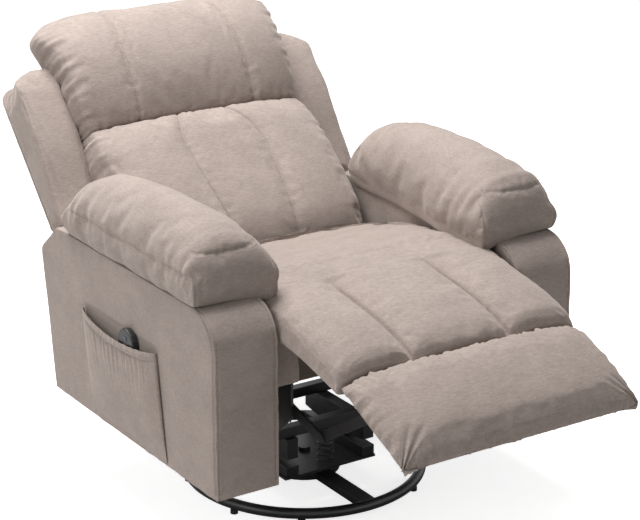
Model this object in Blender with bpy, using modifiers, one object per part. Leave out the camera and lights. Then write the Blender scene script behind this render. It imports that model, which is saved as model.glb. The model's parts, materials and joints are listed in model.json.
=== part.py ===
"""Swivel rocker recliner with its footrest out: a ring base, a bearing, rockers and a mechanism under
a padded seat, a reclining back with side wings, two boxed arms with pillow tops and a side pocket.

Lengths are in metres and angles in degrees. The front faces -Y, up is +Z. Stations along Y are counted
from the swivel axis, which the frame origin carries. The back is modelled upright about its hinge, and
the foot panel flat about its rear seam; their parent empties lean them to the angles shown.
"""
import math

import bmesh
import bpy
from mathutils import Vector

COLLECTION = "swivel_recliner"
CUTTERS = "cutters"

# Shared clearances and hardware
TOUCH = 0.0003
PIN_R = 0.006
PIN_CLEARANCE = 0.0003
PIN_SIDES = 24
LINK_THICK = 0.005
LINK_HALF_WIDTH = 0.012
CUT_OVERRUN = 0.004
PLATE_EDGE = 0.0015
WELD_DISTANCE = 0.00001

# Base ring on the floor
SWIVEL_Y = 0.030
RING_OUTER_R = 0.289
RING_TUBE_R = 0.0125
GLIDE_R = 0.009
GLIDE_HEIGHT = 0.010
GLIDE_ANGLES = (34.0, 68.0, 112.0, 146.0)
SPOKE_WIDTH = 0.040
SPOKE_HEIGHT = 0.018
SPOKE_ANGLES = (-90.0, 30.0, 150.0)
HUB_R = 0.085
KING_BOLT_R = 0.008
KING_BOLT_HEAD_R = 0.014
KING_BOLT_HEAD_HEIGHT = 0.008
BOLT_CLEARANCE = 0.0005

# Bearing and turntable
LOWER_PLATE_HALF = 0.080
PLATE_THICK = 0.006
CAGE_OUTER_R = 0.070
CAGE_INNER_R = 0.050
CAGE_HEIGHT = 0.012
TURNTABLE_HALF_X = 0.125
TRACK_X = 0.105
TRACK_WIDTH = 0.034
TRACK_HALF_LENGTH = 0.125
TRACK_HEIGHT = 0.025

# Rockers and their springs
ROCKER_Y = 0.010
ROCKER_R = 0.100
ROCKER_ARC = 9.0
ROCKER_WIDTH = 0.030
ROCKER_HALF_LENGTH = 0.125
ROCKER_HEIGHT = 0.068
CROSSBAR_Y = 0.092
CROSSBAR_DEPTH = 0.025
CROSSBAR_HEIGHT = 0.025
SPRING_R = 0.020
SPRING_WIRE_R = 0.002
SPRING_TURNS = 6
SPRING_TURN_POINTS = 10

# Mechanism side plates and footrest links
SIDE_PLATE_INSET = 0.0815
SIDE_PLATE_THICK = 0.006
SIDE_PLATE_TOP = 0.420
SIDE_PLATE_FRONT = -0.306
SIDE_PLATE_REAR = 0.290
SIDE_PLATE_NOSE_Z = 0.300
SIDE_PLATE_TAIL_Z = 0.345
SIDE_PLATE_FOOT_Y = 0.120
LINK_ROOT_Y = -0.200
LINK_ROOT_Z = 0.345
LINK_LENGTH = 0.215
BRACKET_PIN_S = 0.025
BRACKET_PIN_T = 0.105

# Arms
ARM_CLEARANCE = 0.0045
ARM_WIDTH = 0.157
ARM_FRONT_Y = -0.394
ARM_REAR_Y = 0.354
ARM_BOTTOM_Z = 0.200
ARM_TOP_Z = 0.607
ARM_CHAMFER_Y = 0.318
ARM_CHAMFER_Z = 0.537
ARM_LEAN = 0.050
ARM_CORNER_R = 0.085
ARM_EDGE_R = 0.010
ARM_WALL = 0.014
ARM_FRAME_THICK = 0.022
ARM_FRAME_BAND = 0.070
ARM_FRAME_TOP_Z = 0.500

# Arm pillows
PILLOW_LAP = 0.008
PILLOW_OVERHANG = 0.010
PILLOW_FRONT_Y = -0.312
PILLOW_REAR_Y = 0.278
PILLOW_HEIGHT = 0.174
PILLOW_REAR_ROUND = 0.040

# Seat
SEAT_HALF_WIDTH = 0.3085
SEAT_SEAM_Y = -0.249
SEAT_SEAM_Z = 0.599
SEAT_REAR_Z = 0.552
SEAT_BOTTOM_Z = 0.425
SEAT_CROWN = 0.012
SEAT_REAR_CLEARANCE = 0.0143
SEAM_GAP = 0.0015
RAIL_THICK = 0.028
WEBBING_THICK = 0.003
REAR_RAIL_Y = 0.020
RAIL_BOTTOM_Z = 0.385
CHANNEL_X = 0.125
BOX_SIDE_FRONT_Y = -0.345
BOX_SIDE_REAR_Y = 0.230
BOX_SIDE_BOTTOM_Z = 0.400
BOX_SIDE_EDGE = 0.006

# Leg rest: a bridging pad and a foot panel
FOOT_SEAM_Y = -0.610
FOOT_SEAM_Z = 0.514
FOOT_SLOPE = 23.7
FOOT_LENGTH = 0.246
FOOT_SIDE_CLEARANCE = 0.0065
FOOT_THICK = 0.047
FOOT_CROWN = 0.014
FOOT_BOARD_THICK = 0.015
FOOT_BOARD_INSET = 0.020
FOOT_BRACKET_LENGTH = 0.130
BRIDGE_THICK = 0.066
BRIDGE_CROWN = 0.012
GROOVE_DEPTH = 0.009

# Back, upright about its hinge
HINGE_Y = 0.260
HINGE_Z = 0.385
RECLINE = 43.0
FRAME_BOTTOM = -0.030
FRAME_TOP = 0.600
FRAME_FRONT = 0.005
FRAME_THICK = 0.027
FRAME_BAND = 0.055
FRAME_SLAT_U = 0.170
BACK_PANEL_THICK = 0.005
BACK_SIDE_CLEARANCE = 0.0105
WING_WIDTH = 0.115
WING_BOTTOM_U = 0.242
WING_TOP_U = 0.642
WING_CORNER_R = 0.040
WING_LOW_FRONT = 0.040
WING_HIGH_FRONT = 0.078
HINGE_STRAP_U = 0.110
LUMBAR_REAR_U = 0.085
LUMBAR_SEAM_U = 0.430
LUMBAR_CROWN = 0.205
HEAD_TOP_U = 0.757
HEAD_CROWN = 0.156
BACK_SEAM_X = 0.105
MOTOR_R = 0.030
MOTOR_THICK = 0.020
MOTOR_CLEARANCE = 0.0434

# Pocket, remote control and release ring
POCKET_FRONT_Y = -0.150
POCKET_REAR_Y = 0.185
POCKET_BOTTOM_Z = 0.210
POCKET_TOP_Z = 0.455
POCKET_SAG = 0.016
POCKET_DEPTH = 0.0215
POCKET_LEAN = 0.034
POCKET_WALL = 0.0022
POCKET_WAVE = 0.0012
REMOTE_Y = -0.036
REMOTE_HALF_WIDTH = 0.034
REMOTE_THICK = 0.016
REMOTE_BOTTOM_Z = 0.318
REMOTE_TOP_Z = 0.477
REMOTE_EDGE_R = 0.003
BUTTON_R = 0.0055
BUTTON_THICK = 0.0030
BUTTON_PROUD = 0.0012
BUTTON_TRAVEL = 0.0008
BUTTON_PITCH = 0.017
BUTTON_DROP = 0.022
RELEASE_Y = -0.120
RELEASE_HALF_WIDTH = 0.028
RELEASE_BOTTOM_Z = 0.530
RELEASE_TOP_Z = 0.572
RELEASE_WIRE_R = 0.0014

# Shares that shape the padding, of the size that each follows
LUMBAR_PROFILE_SHARES = ((0.0, 0.90), (0.14, 1.0), (0.30, 0.93), (0.50, 0.86), (0.75, 0.76), (1.0, 0.58))
HEAD_PROFILE_SHARES = ((0.0, 0.72), (0.14, 0.88), (0.36, 0.98), (0.58, 1.0), (0.82, 0.87), (1.0, 0.52))
PILLOW_PROFILE_SHARES = ((0.0, 0.72), (0.12, 0.89), (0.32, 0.98), (0.53, 1.0), (0.70, 0.96), (1.0, 0.60))
GROOVE_SIDE_SHARE = 0.05
EDGE_LOOP_SHARE = 0.90
PAD_WIDTH_SHARES = (-EDGE_LOOP_SHARE, -0.5, 0.0, 0.5, EDGE_LOOP_SHARE)
PAD_LENGTH_SHARES = (-EDGE_LOOP_SHARE, 0.0, EDGE_LOOP_SHARE)
SEAT_WIDTH_SHARES = (-EDGE_LOOP_SHARE, -0.45, 0.0, 0.45, EDGE_LOOP_SHARE)
SEAT_LENGTH_SHARES = (-EDGE_LOOP_SHARE, -0.4, 0.2, 0.7, EDGE_LOOP_SHARE)
SEAT_HEIGHT_SHARES = (-0.3, 0.4)
PILLOW_LENGTH_SHARES = (-EDGE_LOOP_SHARE, -0.55, -0.1, 0.4, EDGE_LOOP_SHARE)
PILLOW_HEIGHT_SHARES = (-0.4, 0.4)
BACK_HEIGHT_SHARES = (-EDGE_LOOP_SHARE, -0.45, 0.05, 0.5, EDGE_LOOP_SHARE)
WING_SIDE_SHARES = (-0.8, 0.8)
FOOT_DRAW_SHARE = 0.03
FOOT_LOW_EDGE_SHARE = 0.25
FOOT_HIGH_EDGE_SHARE = 0.20
SEAT_DRAW_SHARE = 0.02
BRIDGE_DRAW_SHARE = 0.02
BRIDGE_EDGE_SHARE = 0.22
PILLOW_SHOULDER_SHARE = 0.24
PILLOW_LIFT_SHARE = 0.10
PILLOW_DRAW_SHARE = 0.09
WING_SWELL_START_SHARE = 0.12
WING_SWELL_SPAN_SHARE = 0.35
WING_ROUND_SHARE = 0.10
WING_TOP_SHARE = 0.62
BACK_SIDE_DROP_SHARE = 0.16
BACK_DRAW_SHARE = 0.015
HEAD_CORNER_SHARE = 0.03
POCKET_BOW_POWER = 0.3
POCKET_WAVES = 8
FLAT_POWER = 4.0
FLATTER_POWER = 6.0

# Working values that follow from the sizes above
ARM_INNER_X = SEAT_HALF_WIDTH + ARM_CLEARANCE
ARM_OUTER_X = ARM_INNER_X + ARM_WIDTH
PILLOW_INNER_X = ARM_INNER_X - PILLOW_LAP
PILLOW_OUTER_X = ARM_OUTER_X + PILLOW_OVERHANG
SIDE_PLATE_X = SEAT_HALF_WIDTH - SIDE_PLATE_INSET
FOOT_HALF_WIDTH = SEAT_HALF_WIDTH - FOOT_SIDE_CLEARANCE
BACK_HALF_WIDTH = SEAT_HALF_WIDTH - BACK_SIDE_CLEARANCE
WING_OUTER_X = BACK_HALF_WIDTH + WING_WIDTH
RING_R = RING_OUTER_R - RING_TUBE_R
RING_Z = GLIDE_HEIGHT + TOUCH + RING_TUBE_R
HUB_TOP = RING_Z + SPOKE_HEIGHT / 2
CAGE_BOTTOM = HUB_TOP + TOUCH + PLATE_THICK + TOUCH
TURNTABLE_BOTTOM = CAGE_BOTTOM + CAGE_HEIGHT + TOUCH
TURNTABLE_TOP = TURNTABLE_BOTTOM + PLATE_THICK
TRACK_TOP = TURNTABLE_TOP + TOUCH + TRACK_HEIGHT
ROCKER_BOTTOM = TRACK_TOP + TOUCH
ROCKER_TOP = ROCKER_BOTTOM + ROCKER_HEIGHT
ROCKER_AXIS_Z = ROCKER_BOTTOM + ROCKER_R
CROSSBAR_BOTTOM = ROCKER_TOP + TOUCH
SIDE_PLATE_BOTTOM = CROSSBAR_BOTTOM
SIDE_PLATE_INNER = SIDE_PLATE_X - SIDE_PLATE_THICK / 2
LINK_LAYER = LINK_THICK + TOUCH
TURNTABLE_HALF_Y = TRACK_HALF_LENGTH - ROCKER_Y
BOX_SIDE_INNER = SIDE_PLATE_X + SIDE_PLATE_THICK / 2 + TOUCH
FRAME_HALF_WIDTH = SIDE_PLATE_INNER - TOUCH - LINK_LAYER
FRAME_REAR = FRAME_FRONT + FRAME_THICK
MOTOR_X = FRAME_HALF_WIDTH - FRAME_BAND - MOTOR_CLEARANCE - MOTOR_R
LUMBAR_REACH = math.hypot(LUMBAR_CROWN, LUMBAR_PROFILE_SHARES[1][0] * LUMBAR_SEAM_U)
SEAT_REACH = LUMBAR_REACH + SEAT_REAR_CLEARANCE
BRIDGE_FALL = (SEAT_SEAM_Z - FOOT_SEAM_Z) / (SEAT_SEAM_Y - FOOT_SEAM_Y)
BRIDGE_SLOPE = math.degrees(math.atan(BRIDGE_FALL))
SEAM_LEAN = (BRIDGE_SLOPE + FOOT_SLOPE) / 2
POCKET_FACE_X = ARM_OUTER_X + TOUCH


def clear_scene():
    for item in list(bpy.data.objects):
        bpy.data.objects.remove(item, do_unlink=True)
    for name in (COLLECTION, CUTTERS):
        bpy.context.scene.collection.children.link(bpy.data.collections.new(name))


def make_material(name, color, roughness, metallic):
    made = bpy.data.materials.new(name)
    made.use_nodes = True
    shader = made.node_tree.nodes["Principled BSDF"]
    shader.inputs["Base Color"].default_value = (*color, 1.0)
    shader.inputs["Roughness"].default_value = roughness
    shader.inputs["Metallic"].default_value = metallic
    return made


def add_object(name, data, material, parent, collection=COLLECTION):
    """Link an object for the given mesh or curve, with its own copy of the material."""
    made = bpy.data.objects.new(name, data)
    bpy.data.collections[collection].objects.link(made)
    if material:
        own = material.copy()
        own.name = name
        data.materials.append(own)
    made.parent = parent
    return made


def add_axis(name, parent, place, lean=0.0):
    """An empty on a joint axis, leaned about X by an angle in degrees."""
    made = bpy.data.objects.new(name, None)
    bpy.data.collections[COLLECTION].objects.link(made)
    made.parent = parent
    made.location = place
    made.rotation_euler = (math.radians(lean), 0.0, 0.0)
    return made


def shade(mesh, angle=40.0):
    mesh.shade_smooth()
    mesh.set_sharp_from_angle(angle=math.radians(angle))


def from_bmesh(name, work, material, parent, smooth=True):
    mesh = bpy.data.meshes.new(name)
    work.to_mesh(mesh)
    work.free()
    if smooth:
        shade(mesh)
    return add_object(name, mesh, material, parent)


def round_edges(item, width, segments=2):
    bevel = item.modifiers.new("rounded_edges", "BEVEL")
    bevel.width = width
    bevel.segments = segments
    bevel.limit_method = "ANGLE"
    return item


def box(name, low, high, material, parent, edge=0.0):
    """A box between two corners, with its edges rounded where an edge width is given."""
    work = bmesh.new()
    bmesh.ops.create_cube(work, size=1.0)
    low, high = Vector(low), Vector(high)
    for vert in work.verts:
        vert.co = Vector(low[i] + (vert.co[i] + 0.5) * (high[i] - low[i]) for i in range(3))
    made = from_bmesh(name, work, material, parent)
    return round_edges(made, edge) if edge else made


def cylinder(name, radius, low, high, axis, material, parent, sides=PIN_SIDES):
    """A cylinder whose axis runs along X, Y or Z from one point to the other."""
    work = bmesh.new()
    low, high = Vector(low), Vector(high)
    bmesh.ops.create_cone(
        work, cap_ends=True, segments=sides, radius1=radius, radius2=radius, depth=(high - low).length
    )
    made = from_bmesh(name, work, material, parent)
    made.location = (low + high) / 2
    quarter = math.pi / 2
    made.rotation_euler = {"X": (0.0, quarter, 0.0), "Y": (quarter, 0.0, 0.0), "Z": (0.0, 0.0, 0.0)}[axis]
    return made


def turned(name, profile, material, parent, steps=48):
    """Turn a closed profile of (radius, height) points about Z; its outer side runs downwards."""
    mesh = bpy.data.meshes.new(name)
    points = [(radius, 0.0, height) for radius, height in profile]
    edges = [(i, (i + 1) % len(points)) for i in range(len(points))]
    mesh.from_pydata(points, edges, [])
    made = add_object(name, mesh, material, parent)
    screw = made.modifiers.new("turn", "SCREW")
    screw.steps = steps
    screw.render_steps = steps
    screw.use_merge_vertices = True
    screw.merge_threshold = WELD_DISTANCE
    screw.use_normal_calculate = False
    screw.use_smooth_shade = False
    return made


def circle(center_a, center_b, radius, sides=PIN_SIDES):
    turn = 2 * math.pi / sides
    return [
        (center_a + radius * math.cos(i * turn), center_b + radius * math.sin(i * turn)) for i in range(sides)
    ]


def arc(center, radius, start, end, steps):
    """Points on an arc between two angles in degrees, both ends included."""
    angles = [math.radians(start + (end - start) * i / steps) for i in range(steps + 1)]
    return [(center[0] + radius * math.cos(a), center[1] + radius * math.sin(a)) for a in angles]


def outline(name, loops, thickness, material, parent, plane, middle=0.0, edge=0.0):
    """Extrude a flat outline, with any holes, in the YZ, XZ or XY plane about its middle."""
    curve = bpy.data.curves.new(name, "CURVE")
    curve.dimensions = "2D"
    curve.fill_mode = "BOTH"
    curve.extrude = thickness / 2 - edge
    curve.bevel_depth = edge
    curve.bevel_resolution = 1
    curve.offset = -edge
    for loop in loops:
        spline = curve.splines.new("POLY")
        spline.points.add(len(loop) - 1)
        for point, (a, b) in zip(spline.points, loop):
            point.co = (a, b, 0.0, 1.0)
        spline.use_cyclic_u = True
    made = add_object(name, curve, material, parent)
    quarter = math.pi / 2
    turns = {"YZ": (quarter, 0.0, quarter), "XZ": (quarter, 0.0, 0.0), "XY": (0.0, 0.0, 0.0)}
    places = {"YZ": (middle, 0.0, 0.0), "XZ": (0.0, middle, 0.0), "XY": (0.0, 0.0, middle)}
    made.rotation_euler = turns[plane]
    made.location = places[plane]
    return made


def as_mesh(item, material):
    """Replace a curve object by its welded mesh, under the same name, place and parent."""
    bpy.context.view_layer.update()
    evaluated = item.evaluated_get(bpy.context.evaluated_depsgraph_get())
    mesh = bpy.data.meshes.new_from_object(evaluated)
    work = bmesh.new()
    work.from_mesh(mesh)
    bmesh.ops.remove_doubles(work, verts=work.verts, dist=WELD_DISTANCE)
    work.to_mesh(mesh)
    work.free()
    mesh.materials.clear()
    name, parent, world = item.name, item.parent, item.matrix_world.copy()
    bpy.data.objects.remove(item, do_unlink=True)
    made = add_object(name, mesh, material, parent)
    made.matrix_world = world
    bpy.context.view_layer.update()
    return made


def combine(item, other, operation):
    """Cut another mesh object out of an item, or join it on; the other becomes a hidden guide."""
    for holder in list(other.users_collection):
        holder.objects.unlink(other)
    bpy.data.collections[CUTTERS].objects.link(other)
    other.name = "cutter_" + other.name
    other.hide_render = True
    other.display_type = "WIRE"
    change = item.modifiers.new("combine", "BOOLEAN")
    change.operation = operation
    change.solver = "EXACT"
    change.object = other
    return item


def tube(name, points, radius, material, parent, closed=False, resolution=2):
    curve = bpy.data.curves.new(name, "CURVE")
    curve.dimensions = "3D"
    curve.bevel_depth = radius
    curve.bevel_resolution = resolution
    curve.use_fill_caps = not closed
    spline = curve.splines.new("POLY")
    spline.points.add(len(points) - 1)
    for point, place in zip(spline.points, points):
        point.co = (*place, 1.0)
    spline.use_cyclic_u = closed
    return add_object(name, curve, material, parent)


def soft_form(name, stations, place, material, parent, level=1):
    """A padded block: a unit cage cut at stations along each axis, placed point by point, subdivided."""
    work = bmesh.new()
    bmesh.ops.create_cube(work, size=2.0)
    for axis, cuts in enumerate(stations):
        normal = Vector((0.0, 0.0, 0.0))
        normal[axis] = 1.0
        for station in cuts:
            parts = work.verts[:] + work.edges[:] + work.faces[:]
            bmesh.ops.bisect_plane(work, geom=parts, plane_co=normal * station, plane_no=normal)
    for vert in work.verts:
        vert.co = Vector(place(*vert.co))
    made = from_bmesh(name, work, material, parent)
    if level:
        smooth = made.modifiers.new("softened", "SUBSURF")
        smooth.levels = level
        smooth.render_levels = level
    return made


def mix(low, high, share):
    return low + (high - low) * share


def swell(value, power=2.0):
    """One in the middle of a unit span and zero at its ends."""
    return max(0.0, 1.0 - abs(value) ** power)


def read_shares(table, share):
    """Read a smooth value from a table of (place, value) shares."""
    for (a, low), (b, high) in zip(table, table[1:]):
        if share <= b:
            t = (share - a) / (b - a)
            return mix(low, high, t * t * (3.0 - 2.0 * t))
    return table[-1][1]


def groove(x, seam, width):
    """The depth share of a sewn line at +seam and -seam: one on the line, zero beyond its width."""
    return swell(min(1.0, abs(abs(x) - seam) / width), 1.0)


def seam_stations(seam, half_width):
    """Unit stations across a cushion, with a loop on each sewn line and one either side of it."""
    line = seam / half_width
    loops = (line - GROOVE_SIDE_SHARE, line, line + GROOVE_SIDE_SHARE)
    middle = (1.0 + line) / 2
    outer = [*loops, middle, EDGE_LOOP_SHARE]
    return [-v for v in reversed(outer)] + [-line / 2, 0.0, line / 2] + outer


def build_base(frame, steel, rubber):
    """The floor ring, its glides, the three-armed spider and the lower half of the bearing."""
    steps = 48
    ring = [(*point, RING_Z) for point in circle(0.0, 0.0, RING_R, steps)]
    tube("floor_ring", ring, RING_TUBE_R, steel, frame, closed=True)
    angles = [sign * angle - 90.0 for angle in GLIDE_ANGLES for sign in (-1, 1)]
    for number, angle in enumerate(angles, start=1):
        x = RING_R * math.cos(math.radians(angle))
        y = RING_R * math.sin(math.radians(angle))
        cylinder(
            f"floor_glide_{number}", GLIDE_R, (x, y, 0.0), (x, y, GLIDE_HEIGHT), "Z", rubber, frame, sides=16
        )
    reach_corner = (RING_R - RING_TUBE_R) * math.cos(math.pi / steps) - TOUCH
    reach = math.sqrt(reach_corner**2 - (SPOKE_WIDTH / 2) ** 2)
    lean = math.degrees(math.asin(SPOKE_WIDTH / 2 / HUB_R))
    loop = []
    for here, there in zip(SPOKE_ANGLES, (*SPOKE_ANGLES[1:], SPOKE_ANGLES[0] + 360.0)):
        along = Vector((math.cos(math.radians(here)), math.sin(math.radians(here))))
        across = Vector((-along.y, along.x)) * (SPOKE_WIDTH / 2)
        loop += [tuple(along * reach - across), tuple(along * reach + across)]
        loop += arc((0.0, 0.0), HUB_R, here + lean, there - lean, 8)
    bore = circle(0.0, 0.0, KING_BOLT_R + BOLT_CLEARANCE)
    outline("base_spider", [loop, bore], SPOKE_HEIGHT, steel, frame, "XY", RING_Z, PLATE_EDGE)
    half = LOWER_PLATE_HALF
    square = [(-half, -half), (half, -half), (half, half), (-half, half)]
    middle = HUB_TOP + TOUCH + PLATE_THICK / 2
    outline("bearing_lower_plate", [square, bore], PLATE_THICK, steel, frame, "XY", middle)
    top = CAGE_BOTTOM + CAGE_HEIGHT
    race = [
        (CAGE_OUTER_R, top),
        (CAGE_OUTER_R, CAGE_BOTTOM),
        (CAGE_INNER_R, CAGE_BOTTOM),
        (CAGE_INNER_R, top),
    ]
    turned("bearing_cage", race, steel, frame)
    low = RING_Z - SPOKE_HEIGHT / 2
    high = TURNTABLE_TOP + TOUCH + KING_BOLT_HEAD_HEIGHT
    head_low = TURNTABLE_TOP + TOUCH
    bolt = [
        (0.0, high),
        (KING_BOLT_HEAD_R, high),
        (KING_BOLT_HEAD_R, head_low),
        (KING_BOLT_R, head_low),
        (KING_BOLT_R, low),
        (0.0, low),
    ]
    turned("king_bolt", bolt, steel, frame, steps=24)


def build_turntable(swivel, steel):
    """The upper bearing plate and the two tracks that the rockers roll on."""
    x, y = TURNTABLE_HALF_X, TURNTABLE_HALF_Y
    plate = [(-x, -y), (x, -y), (x, y), (-x, y)]
    bore = circle(0.0, 0.0, KING_BOLT_R + BOLT_CLEARANCE)
    middle = (TURNTABLE_BOTTOM + TURNTABLE_TOP) / 2
    outline("bearing_upper_plate", [plate, bore], PLATE_THICK, steel, swivel, "XY", middle)
    for side, name in ((-1, "right"), (1, "left")):
        edges = sorted((side * TRACK_X - TRACK_WIDTH / 2, side * TRACK_X + TRACK_WIDTH / 2))
        low = (edges[0], ROCKER_Y - TRACK_HALF_LENGTH, TURNTABLE_TOP + TOUCH)
        high = (edges[1], ROCKER_Y + TRACK_HALF_LENGTH, TRACK_TOP)
        box(f"rocker_track_{name}", low, high, steel, swivel, PLATE_EDGE)
    low = TURNTABLE_TOP + TOUCH + SPRING_WIRE_R
    rise = CROSSBAR_BOTTOM - TOUCH - SPRING_WIRE_R - low
    count = SPRING_TURNS * SPRING_TURN_POINTS
    for side, name in ((-1, "front"), (1, "rear")):
        coil = []
        for i in range(count + 1):
            turn = 2 * math.pi * i / SPRING_TURN_POINTS
            x, y = SPRING_R * math.cos(turn), side * CROSSBAR_Y + SPRING_R * math.sin(turn)
            coil.append((x, y, low + rise * i / count))
        tube(f"rocker_spring_{name}", coil, SPRING_WIRE_R, steel, swivel, resolution=1)
    pitch = rise / SPRING_TURNS
    print("rocker spring: least gap between turns", round(pitch - 2 * SPRING_WIRE_R, 4), "m")


def rocker_outline():
    """The rocker's side view: a short arc about the rocking axis, rising flats and a level top."""
    bottom = arc((0.0, ROCKER_AXIS_Z), ROCKER_R, -90.0 - ROCKER_ARC, -90.0 + ROCKER_ARC, 6)
    reach, start = bottom[-1]
    rise = (ROCKER_HALF_LENGTH - reach) * math.tan(math.radians(ROCKER_ARC))
    half, tip = ROCKER_HALF_LENGTH, start + rise
    loop = [(-half, tip), *bottom, (half, tip), (half, ROCKER_TOP), (-half, ROCKER_TOP)]
    return [(ROCKER_Y + y, z) for y, z in loop]


def build_rockers(chassis, steel):
    """The rockers, the crossbars that join them and the mechanism's side plates."""
    for side, name in ((-1, "right"), (1, "left")):
        loops = [rocker_outline()]
        outline(
            f"rocker_cam_{name}", loops, ROCKER_WIDTH, steel, chassis, "YZ", side * TRACK_X, PLATE_EDGE
        )
    reach = SIDE_PLATE_INNER - TOUCH
    for side, name in ((-1, "front"), (1, "rear")):
        middle = side * CROSSBAR_Y
        low = (-reach, middle - CROSSBAR_DEPTH / 2, CROSSBAR_BOTTOM)
        high = (reach, middle + CROSSBAR_DEPTH / 2, CROSSBAR_BOTTOM + CROSSBAR_HEIGHT)
        box(f"rocker_crossbar_{name}", low, high, steel, chassis, PLATE_EDGE)
    plate = [
        (SIDE_PLATE_FRONT, SIDE_PLATE_NOSE_Z),
        (-SIDE_PLATE_FOOT_Y, SIDE_PLATE_BOTTOM),
        (SIDE_PLATE_FOOT_Y, SIDE_PLATE_BOTTOM),
        (SIDE_PLATE_REAR, SIDE_PLATE_TAIL_Z),
        (SIDE_PLATE_REAR, SIDE_PLATE_TOP),
        (SIDE_PLATE_FRONT, SIDE_PLATE_TOP),
    ]
    bores = [
        circle(y, z, PIN_R + PIN_CLEARANCE) for y, z in ((LINK_ROOT_Y, LINK_ROOT_Z), (HINGE_Y, HINGE_Z))
    ]
    for side, name in ((-1, "right"), (1, "left")):
        middle = side * SIDE_PLATE_X
        outline(f"side_plate_{name}", [plate, *bores], SIDE_PLATE_THICK, steel, chassis, "YZ", middle)


def stadium(start, end, half_width, steps=8):
    """A link's outline: two round ends about its pivots, joined by straight sides."""
    lean = math.degrees(math.atan2(end[1] - start[1], end[0] - start[0]))
    near = arc(start, half_width, lean + 90.0, lean + 270.0, steps)
    return near + arc(end, half_width, lean - 90.0, lean + 90.0, steps)


def pinned_plate(name, loops, pin, inner_x, side, pin_reach, material, parent):
    """A flat link beside the centre plane, with a pin standing out of its outer face."""
    middle = side * (inner_x + LINK_THICK / 2)
    flat = as_mesh(outline(name, loops, LINK_THICK, material, parent, "YZ", middle), material)
    inner = (side * (inner_x + LINK_THICK / 2), *pin)
    outer = (side * (inner_x + LINK_THICK + pin_reach), *pin)
    shaft = cylinder(name + "_pin", PIN_R, inner, outer, "X", None, parent)
    return combine(flat, shaft, "UNION")


def knee(start, end, length):
    """The lower meeting point of two equal links between two pivots."""
    start, end = Vector(start), Vector(end)
    half = (end - start) / 2
    drop = math.sqrt(length**2 - half.length_squared)
    side = Vector((-half.y, half.x)).normalized()
    if side.y > 0:
        side = -side
    return start + half + side * drop


def foot_point(along, down):
    """A point on the foot panel in side view, from its rear seam along it and down from its face."""
    lean = math.radians(FOOT_SLOPE)
    y = FOOT_SEAM_Y - along * math.cos(lean) + down * math.sin(lean)
    z = FOOT_SEAM_Z - along * math.sin(lean) - down * math.cos(lean)
    return (y, z)


def build_links(chassis, steel):
    """Two link pairs fold the foot panel out; each link's pin runs in the piece outboard of it."""
    root = (LINK_ROOT_Y, LINK_ROOT_Z)
    tip = foot_point(BRACKET_PIN_S, BRACKET_PIN_T)
    mid = tuple(knee(root, tip, LINK_LENGTH))
    print("link pivots: knee", [round(v, 6) for v in mid], "tip", [round(v, 6) for v in tip])
    bore = PIN_R + PIN_CLEARANCE
    outer = SIDE_PLATE_INNER - LINK_LAYER
    for side, name in ((-1, "right"), (1, "left")):
        loops = [stadium(root, mid, LINK_HALF_WIDTH), circle(*mid, bore)]
        reach = TOUCH + SIDE_PLATE_THICK
        pinned_plate(f"root_link_{name}", loops, root, outer, side, reach, steel, chassis)
        loops = [stadium(mid, tip, LINK_HALF_WIDTH), circle(*tip, bore)]
        reach = TOUCH + LINK_THICK
        pinned_plate(f"tip_link_{name}", loops, mid, outer - LINK_LAYER, side, reach, steel, chassis)


def build_foot_panel(panel, fabric, wood, steel):
    """The padded foot panel, flat in its parent's frame: its seam on the origin, its front at -Y."""
    depth = FOOT_THICK + TOUCH

    def cushion(a, b, c):
        edge = max(abs(a), abs(b))
        width = FOOT_HALF_WIDTH * (1.0 - FOOT_DRAW_SHARE * abs(c))
        face = -FOOT_CROWN + FOOT_CROWN * swell(a, FLAT_POWER) * swell(b)
        low = -FOOT_THICK + (FOOT_THICK * FOOT_LOW_EDGE_SHARE if edge > EDGE_LOOP_SHARE else 0.0)
        high = face - (FOOT_THICK * FOOT_HIGH_EDGE_SHARE if edge > EDGE_LOOP_SHARE else 0.0)
        z = mix(low, high, (c + 1.0) / 2)
        seam = SEAM_GAP - z * math.tan(math.radians(FOOT_SLOPE - SEAM_LEAN))
        return (a * width, -mix(seam, FOOT_LENGTH, (1.0 - b) / 2), z)

    loops = (PAD_WIDTH_SHARES, PAD_LENGTH_SHARES, (0.0,))
    soft_form("footrest_cushion", loops, cushion, fabric, panel)
    half = FOOT_HALF_WIDTH - FOOT_BOARD_INSET
    low = (-half, -FOOT_LENGTH + FOOT_BOARD_INSET, -depth - FOOT_BOARD_THICK)
    high = (half, -FOOT_BOARD_INSET, -depth)
    box("footrest_board", low, high, wood, panel, PLATE_EDGE)
    seat = -depth - FOOT_BOARD_THICK - TOUCH
    ear = -BRACKET_PIN_T
    round_end = arc((-BRACKET_PIN_S, ear), LINK_HALF_WIDTH, 0.0, -180.0, 8)
    end = -BRACKET_PIN_S - FOOT_BRACKET_LENGTH
    loop = [(-BRACKET_PIN_S + LINK_HALF_WIDTH, seat), *round_end, (end, seat - LINK_HALF_WIDTH), (end, seat)]
    inner = SIDE_PLATE_INNER - 3 * LINK_LAYER
    for side, name in ((-1, "right"), (1, "left")):
        pin = (-BRACKET_PIN_S, ear)
        reach = TOUCH + LINK_THICK
        pinned_plate(f"footrest_bracket_{name}", [loop], pin, inner, side, reach, steel, panel)


def bridge_bottom(y):
    """The height of the bridging pad's underside at a station along Y."""
    return SEAT_SEAM_Z + (y - SEAT_SEAM_Y) * BRIDGE_FALL - BRIDGE_THICK


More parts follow.
